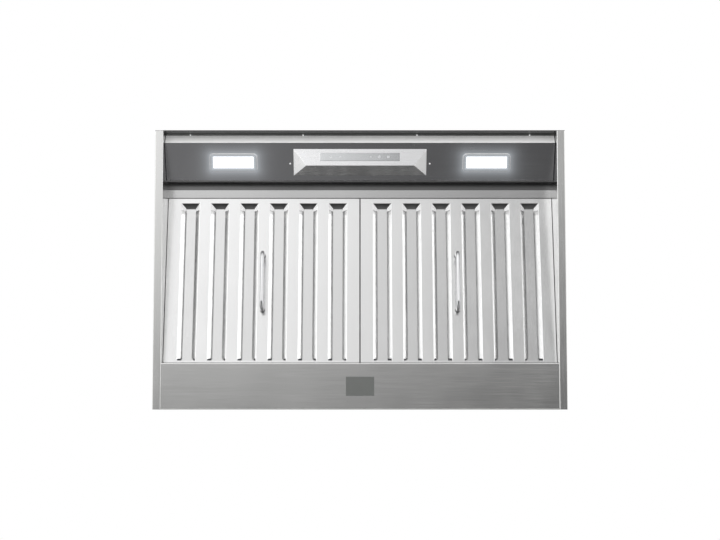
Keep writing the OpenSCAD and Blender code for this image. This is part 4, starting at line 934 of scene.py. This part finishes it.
washer_head = [(0.0, 2.1), (0.9, 2.1), (1.2, 2.5), (2.0, 2.35), (2.6, 1.6), (2.75, 0.9), (3.4, 0.8), (3.5, 0.6),
               (3.5, 0.0), (1.95, 0.0), (1.95, -4.0), (0.0, -4.0)]
BLOWER_Y, FLANGE_BOLTS = 5.0, ((177.0, 260.0 / 3), (340.0 / 3, 137.0))
COLLAR_BOLT_R, COLLAR_BOLT_ANGLES = 82.0, range(30, 390, 60)
bolt = lathe(washer_head, 24)
bolts = [shifted(bolt, x * bolt_x, BLOWER_Y + y * bolt_y, LINER_H + SHEET)
         for bolt_x, bolt_y in FLANGE_BOLTS for x in (-1, 1) for y in (-1, 1)]
bolts += [shifted(bolt, COLLAR_BOLT_R * math.cos(a), COLLAR_Y + COLLAR_BOLT_R * math.sin(a), BOX_TOP + SHEET)
          for a in map(math.radians, COLLAR_BOLT_ANGLES)]
piece("washer_screws", joined(*bolts), fastener, stands_for="housing_screws", edge=0)

# %% [markdown]
# ## Lamps
#
# A pressed bezel with rounded corners and a small chamfer holds a frosted lens, set back a
# little. Both are carried round a rounded rectangle. Narrow lips on the bezel's rear and side
# edges reach over the lens.

# %%
BEZEL_R, CHAMFER, OUTER_CHAMFER = 1.2, 0.35, 1.1
LIP_W, LIP_INSET, LIP_HALF, LIP_LAP = 1.7, 0.45, 0.55, 0.1
rim = [(0.0, -BEZEL_T + CHAMFER), (CHAMFER, -BEZEL_T), (BEZEL_BORDER - OUTER_CHAMFER, -BEZEL_T),
       (BEZEL_BORDER, -BEZEL_T + OUTER_CHAMFER), (BEZEL_BORDER, 0.0), (SLEEVE_WALL, 0.0), (SLEEVE_WALL, SLEEVE_H),
       (0.0, SLEEVE_H)]
bezel = framed(rim, LENS_L / 2, LENS_W / 2, BEZEL_R)
low = LENS_BACK - BEZEL_T
lens = framed([(-0.5, low), (-0.1, low + 0.3), (-0.1, low + LENS_T)], LENS_L / 2, LENS_W / 2, BEZEL_R, closed=False)

lens_end = LENS_W / 2 + LIP_LAP
lips = [((-LENS_L / 2 - 2 * LIP_LAP, LENS_W / 2 - LIP_W), (LENS_L / 2 + 2 * LIP_LAP, lens_end))]
for side, _ in SIDES:
    middle = side * (LENS_L / 2 - LIP_INSET)
    lips.append(((middle - LIP_HALF, -lens_end), (middle + LIP_HALF, lens_end)))
lips = joined(*[block((*start, -BEZEL_T), (*end, low - LIP_LAP)) for start, end in lips])


def outer_rim(c):
    """1 on the bezel's outer chamfer and sides, whose glowing finish is painted light, and 0 further in, from the
    distance outside the lens's rectangle.
    """
    s, _ = untilted(c, RIDGE_Y, RIDGE_Z, SLOPE)
    outside = np.maximum(np.abs(np.abs(c[:, 0]) - LAMP_X) - LENS_L / 2, np.abs(s - LAMP_S) - LENS_W / 2)
    return outside > BEZEL_BORDER - OUTER_CHAMFER + 0.1


for side, word in SIDES:
    place = lambda part: on_panel(shifted(part, side * LAMP_X, LAMP_S, 0.0))
    piece(f"bezel_{word}", place(joined(bezel, lips)), [bezel_steel, rim_painted_light], stands_for=f"lamp_bezel_{word}",
          edge=0, pick=outer_rim)
    piece(f"lens_{word}", place(lens), lens_light, stands_for=f"lamp_lens_{word}", edge=0)

# %% [markdown]
# ## Control
#
# A hip-roofed housing of folded sheet: four faces meet at a ridge. The front one has a window
# for the touch glass, which stands a hair proud and has plain printed marks. The shell starts
# as single faces, and Solidify gives it its wall.

# %%
def hip_shell():
    """The four outer faces, the front one with its window. Corners: the base rectangle and the two ridge ends."""
    s0, s1, ridge = CONTROL_S, CONTROL_S + CONTROL_W, CONTROL_S + CONTROL_RIDGE_S
    b, r, h = CONTROL_L / 2, CONTROL_RIDGE_L / 2, -CONTROL_H
    outer = np.array([(-b, s0, 0), (b, s0, 0), (r, ridge, h), (-r, ridge, h), (b, s1, 0), (-b, s1, 0)], float)
    x, near, far = GLASS_L / 2, GLASS_S, GLASS_S + GLASS_W
    window = np.array([(-x, near, 0), (x, near, 0), (x, far, 0), (-x, far, 0)], float)
    window, _ = tilted((window, None), CONTROL_S, 0.0, -TOUCH_ANGLE)
    front = [[k, (k + 1) % 4, 6 + (k + 1) % 4, 6 + k] for k in range(4)]
    return np.concatenate([outer, window]), front + [[3, 2, 4, 5], [1, 4, 2], [0, 3, 5]]


ridge_y = RIDGE_Y + (CONTROL_S + CONTROL_RIDGE_S) * SLOPE_COS + CONTROL_H * SLOPE_SIN
# Faces by their centres: touch face, rear face with painted shade, hip ends with painted light.
hip = piece("control_shell", on_panel(hip_shell()), [control_steel, rear_painted_shade_steel, hip_painted_light_steel],
            stands_for="control_housing", edge=0,
            pick=lambda c: np.select([np.abs(c[:, 0]) > CONTROL_RIDGE_L / 2, c[:, 1] > ridge_y], [2, 1], 0))
outward = sum(p.normal.z < 0 for p in hip.data.polygons)
if outward < len(hip.data.polygons) / 2:
    hip.data.flip_normals()
walls = hip.modifiers.new("wall", "SOLIDIFY")
walls.thickness, walls.offset, walls.use_even_offset = CONTROL_WALL / 1000, -1.0, True
rounding = hip.modifiers.new("edges", "BEVEL")
rounding.width, rounding.segments, rounding.limit_method, rounding.harden_normals = 0.0007, 3, "ANGLE", True
rounding.angle_limit = math.radians(30.0)
hip.modifiers.remove(hip.modifiers["flat faces"])

# %%
glass = framed([(-0.4, -GLASS_PROUD), (-0.1, 0.1 - GLASS_PROUD), (-0.1, CONTROL_WALL)], GLASS_L / 2, GLASS_W / 2, 0.5,
               closed=False)
glass_mid = GLASS_S + GLASS_W / 2
piece("glass_strip", on_touch_face(shifted(glass, 0.0, glass_mid, 0.0)), glass_grey,
      stands_for="touch_glass", edge=0)

MARK_T = 0.05
RING_X, DASH_X, CROSS_X, FAN_X, MENU_X = -52.0, -35.0, 19.3, 34.2, 50.3


def flat_ring(r, width):
    """A thin printed ring, seen from below."""
    z = -GLASS_PROUD
    return lathe([(r - width, z), (r - width, z - MARK_T), (r, z - MARK_T), (r, z)], 32, closed=True)


def flat_bar(length, width, x=0.0, s=0.0):
    """A thin printed bar."""
    z = -GLASS_PROUD
    return block((x - length / 2, s - width / 2, z - MARK_T), (x + length / 2, s + width / 2, z))


marks = [shifted(flat_ring(2.0, 0.4), RING_X, 0, 0), flat_bar(0.4, 2.0, RING_X, 1.7), flat_bar(3.6, 0.6, DASH_X),
         flat_bar(0.6, 2.8, CROSS_X), flat_bar(2.8, 0.6, CROSS_X),
         *[shifted(flat_ring(r, 0.6), FAN_X, 0, 0) for r in (2.2, 0.9)],
         *[flat_bar(4.2, 0.8, MENU_X, s) for s in (1.4, 0.0, -1.4)]]
piece("glass_marks", on_touch_face(shifted(joined(*marks), 0.0, glass_mid, 0.0)), mark_white,
      edge=0)

# %% [markdown]
# ## Filters
#
# A baffle filter's face is one sheet with long slots. Along both sides of each slot the sheet
# is bent up and inward into a sloping wall, whose ends are cut at a slant. Behind each slot
# lies a channel, so air has to turn twice and leaves its grease. The face is a windowed sheet
# with the slots widened by the bend's setback, and the walls are swept strips with their bend.
# Each wall is two strips, because its front end gets its own finish of painted light, a white
# that glows a little. Near the front each channel's floor is open for the air, with a dark sheet
# over it that is painted shade, and small black blocks of painted shadow fill the corners at the
# slots' rear ends.

# %%
slot_centres = (np.arange(SLOT_COUNT) - (SLOT_COUNT - 1) / 2) * (SLOT_W + SLOT_FLAT)
WALL_BEND_R = 0.3
wall_section = folded([(SLOT_W / 2 - SLOT_RUN, FACE_Z + SLOT_RISE), (SLOT_W / 2, FACE_Z), (SLOT_W / 2 + 3.0, FACE_Z)],
                      FILTER_SHEET, WALL_BEND_R)
wall_angle = math.atan2(SLOT_RISE, SLOT_RUN)
setback = (FILTER_SHEET + WALL_BEND_R) * math.tan(wall_angle / 2)
wall_section = tuple(side[:-1] for side in wall_section)
slant = lambda p: SLOT_BEVEL * np.clip((p[:, 1] - FACE_Z) / SLOT_RISE, 0.0, 1.0)
WALL_END_S, STRIP_GAP = SLOT_START + 12.5, 0.02
wall = joined(swept(wall_section, lambda p: SLOT_START + slant(p), WALL_END_S - STRIP_GAP, "y"),
              swept(wall_section, WALL_END_S, lambda p: SLOT_END - slant(p), "y"))
print(f"a slot's wall: {len(wall[0])} points, set back {setback:.2f} mm by its bend")

# %%
def at_slots(*parts):
    """Parts of one slot, repeated at every slot."""
    return joined(*[shifted(part, c, 0.0, 0.0) for c in slot_centres for part in parts])


half_hole = SLOT_W / 2 + setback
END_LIP, SIDE_LIP, SEAM_LIP = 1.0, 0.6, 0.5
slot_edges = np.stack([slot_centres - half_hole, slot_centres + half_hole], 1).ravel()
xs = np.concatenate([[-FILTER_W / 2 + SEAM_LIP], slot_edges, [FILTER_W / 2 + SIDE_LIP]])
ys = np.array([FACE_S + BEAD_GAP, SLOT_START, SLOT_END, FILTER_END_S + END_LIP])
solid = np.ones((len(xs) - 1, 3), bool)
solid[1::2, 1] = False
face = joined(windowed(xs, ys, solid, FACE_Z, FACE_Z + FILTER_SHEET), at_slots(wall, mirrored_x(wall)))
print("a filter's face with its walls:", len(face[1]), "faces")

top = FACE_Z + FILTER_T - FILTER_SHEET
channel_section = folded([(CHANNEL_HALF, FACE_Z + CHANNEL_CLEAR), (CHANNEL_HALF, top), (-CHANNEL_HALF, top),
                          (-CHANNEL_HALF, FACE_Z + CHANNEL_CLEAR)], FILTER_SHEET, 0.4)
channels = at_slots(swept(channel_section, FILTER_SHEET - FILTER_HOOK, FILTER_END_S - FILTER_SHEET, "y"))
# Painted shade: a dark sheet over each floor hole stands for the dark inside of the filter.
AIR_REACH, CUT_REACH, SHADE_SHEET_LOW, SHADE_SHEET_HIGH = 5.0, 3.0, 0.2, 0.6
floor_holes, shade_sheet_parts = (at_slots(block((-SLOT_W / 2, SLOT_START - AIR_REACH, top + low),
                                       (SLOT_W / 2, SLOT_START + SLOT_BEVEL, top + high)))
                        for low, high in ((-CUT_REACH, CUT_REACH), (SHADE_SHEET_LOW, SHADE_SHEET_HIGH)))

# %%
# Painted shadow: small black blocks at the slots' rear ends stand for the dark inside seen through the corners.
SHADOW_PLUG_DEPTH, SHADOW_PLUG_WIDTHS, SHADOW_PLUG_LAP, SHADOW_PLUG_Z, SHADOW_PLUG_T = 3.8, (SLOT_RUN, 3.2), 0.8, 0.1, 1.0
shadow_plug_z = FACE_Z + FILTER_SHEET + SHADOW_PLUG_Z
outer_shadow_plug, inner_shadow_plug = (block((SLOT_W / 2 - width, SLOT_END - SHADOW_PLUG_DEPTH, shadow_plug_z),
                                (half_hole, SLOT_END + SHADOW_PLUG_LAP, shadow_plug_z + SHADOW_PLUG_T)) for width in SHADOW_PLUG_WIDTHS)
shadow_plugs = at_slots(outer_shadow_plug, mirrored_x(inner_shadow_plug))


def wall_part(c):
    """0 for the face sheet, 1 for the slot walls, which rise above it, and 2 for the walls' front ends. The walls'
    brighter finish and the front ends' glowing one are painted light.
    """
    along, height = untilted(c, PIVOT_Y, PIVOT_Z, -FILTER_SLOPE)
    return (height > FACE_Z + 1.2 * FILTER_SHEET) * np.where(along < WALL_END_S - 0.1, 2, 1)

# %%
bend = np.linspace(0, math.pi / 2, 13)
grip = FACE_Z - HANDLE_REACH + HANDLE_R
half_span = HANDLE_SPAN / 2
corner = np.stack([half_span - HANDLE_BEND * (1 - np.sin(bend)), grip + HANDLE_BEND * (1 - np.cos(bend))], 1)
rod = np.concatenate([[(half_span, FACE_Z + HANDLE_NUT)], corner[::-1]])
rod = np.concatenate([rod, rod[::-1] * (-1, 1)]) + (HANDLE_MID, 0.0)
handle = tube(rod, HANDLE_R, 32)
print("handle:", len(rod), "rings")

# %% [markdown]
# The handle is a bent rod through the sheet. A thin dark seat under the sheet and a nut above
# it hold each end.

# %%
SEAT_R, SEAT_T, NUT_R, NUT_CHAMFER, bore_r = 4.6, 1.2, 5.7, 0.6, HANDLE_R + 0.05
seat_z, nut_base = FACE_Z - SEAT_T, FACE_Z + FILTER_SHEET
nut_top = nut_base + HANDLE_NUT
seat = lathe([(bore_r, FACE_Z), (bore_r, seat_z), (SEAT_R - 0.4, seat_z), (SEAT_R, seat_z + 0.5), (SEAT_R, FACE_Z)],
             32, closed=True)
nut = lathe([(bore_r, nut_base), (NUT_R, nut_base), (NUT_R, nut_top - NUT_CHAMFER), (NUT_R - NUT_CHAMFER, nut_top),
             (bore_r, nut_top)], 32, closed=True)
feet = joined(*[shifted(p, 0.0, HANDLE_MID + end * half_span, 0.0) for end in (-1, 1) for p in (seat, nut)])

for side, word in SIDES:
    body = f"filter_{word}"
    piece(f"baffle_face_{word}", on_filter(sided(face, side), side), [filter_steel, wall_steel, wall_ends_painted_light], body,
          stands_for=f"filter_{word}_face", edge=0.12, pick=wall_part)
    piece(f"baffle_channels_{word}", on_filter(channels, side), channel_steel, body,
          stands_for=f"filter_{word}_channels", edge=0.1, holes=[on_filter(floor_holes, side)])
    piece(f"painted_shade_plates_{word}", on_filter(shade_sheet_parts, side), shade_sheet_grey, body, edge=0)
    piece(f"painted_shadow_plugs_{word}", on_filter(sided(shadow_plugs, side), side), black_plastic, body, edge=0)
    piece(f"handle_feet_{word}", on_filter(feet, side), foot_grey, body, f"filter_{word}_feet", edge=0)
    piece(f"pull_handle_{word}", on_filter(handle, side), polished, body, f"filter_{word}_handle",
          edge=0)

# %% [markdown]
# ## Top and inside
#
# The roof, the blower's box and its lid are pressed from galvanised sheet: copies of the CAD
# shapes with their edges rounded. The duct collar is spun, with a rolled bead near its mouth
# that keeps the duct's clamp from slipping.

# %%
for node_name in ("roof_panel", "blower_box", "blower_top", "electronics_box", "electronics_lid", "junction_box",
                  "junction_box_end", "junction_box_cover", "light_panel_bracket", "control_bracket"):
    softened(node_name, galvanised, 0.4)

BEAD_BELOW_MOUTH, BEAD_SINK, COLLAR_BEAD_R = 10.0, 0.05, 1.8
swell = np.linspace(-math.pi / 2, math.pi / 2, 9)
rolled = [(COLLAR_R - BEAD_SINK + COLLAR_BEAD_R * math.cos(a),
           BOX_TOP + COLLAR_H - BEAD_BELOW_MOUTH + COLLAR_BEAD_R * math.sin(a)) for a in swell]
piece("collar_bead", shifted(lathe(rolled, 128, closed=True), 0.0, COLLAR_Y, 0.0), galvanised,
      edge=0)

# %% [markdown]
# ## CAD nodes that stay
#
# Their shapes are right as they are; each gets the finish of what it is made of.

# %%
stays = {
    galvanised: ("scroll_wrap", "scroll_side_left", "scroll_side_right", "motor_bracket", "duct_collar",
                 "damper_flap_front", "damper_flap_rear"),
    impeller_steel: ("impeller_plates", "impeller_blades", "impeller_hub"),
    shaft_steel: ("motor_shaft", "motor_bearings", "damper_rod"),
    motor_enamel: ("motor",), ivory: ("motor_capacitor", "terminal_block"),
    black_plastic: ("cable_gland", "filter_catches"), insulation: ("lamp_leads",),
    lamp_shell: ("lamp_housings",),
    led_white: ("led_boards",), board_green: ("control_board", "power_board"),
    # The filters' frames get the painted shade.
    frame_painted_shade_steel: ("filter_left_frame", "filter_right_frame"),
}
for finish_material, names in stays.items():
    for name in names:
        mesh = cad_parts[name].data
        mesh.materials.clear()
        mesh.materials.append(finish_material)
print("CAD nodes that stay:", sum(map(len, stays.values())), "of", len(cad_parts))

# %% [markdown]
# ## Floor and lights
#
# The cook's floor is far below, plain and pale. Reflections would show its edge in the steel,
# so they pass through it to the studio. One large soft lamp stands below on the left.

# %%
floor = bpy.data.objects.new("floor", bpy.data.meshes.new("floor"))
FLOOR_HALF, FLOOR_Z = 12.0, -3.2
corners = [(x * FLOOR_HALF, y * FLOOR_HALF, FLOOR_Z) for x, y in ((-1, -1), (1, -1), (1, 1), (-1, 1))]
floor.data.from_pydata(corners, [], [(0, 1, 2, 3)])
floor.data.materials.append(finish("floor", 0.9, Base_Color=colour4(0.85))[0])
bpy.context.scene.collection.objects.link(floor)
floor.visible_glossy = floor.visible_diffuse = floor.visible_shadow = False

lamp = bpy.data.objects.new("soft lamp", bpy.data.lights.new("soft lamp", "AREA"))
LAMP_SIZE, LAMP_POWER, LAMP_AT = 1.6, 12.0, (-1.6, -1.2, -1.8)
lamp.data.shape, lamp.data.energy = "RECTANGLE", LAMP_POWER
lamp.data.size = lamp.data.size_y = LAMP_SIZE
lamp.location = LAMP_AT
lamp.visible_glossy = False
lamp.rotation_euler = (Vector((0, 0, 0)) - lamp.location).to_track_quat("-Z", "Y").to_euler()
bpy.context.scene.collection.objects.link(lamp)
print("floor at", FLOOR_Z, "m and a lamp of", LAMP_POWER, "W at", LAMP_AT)

# %%
bpy.context.scene.view_settings.view_transform = "Standard"
print("pieces:", len(made), " faces:", sum(made.values()))
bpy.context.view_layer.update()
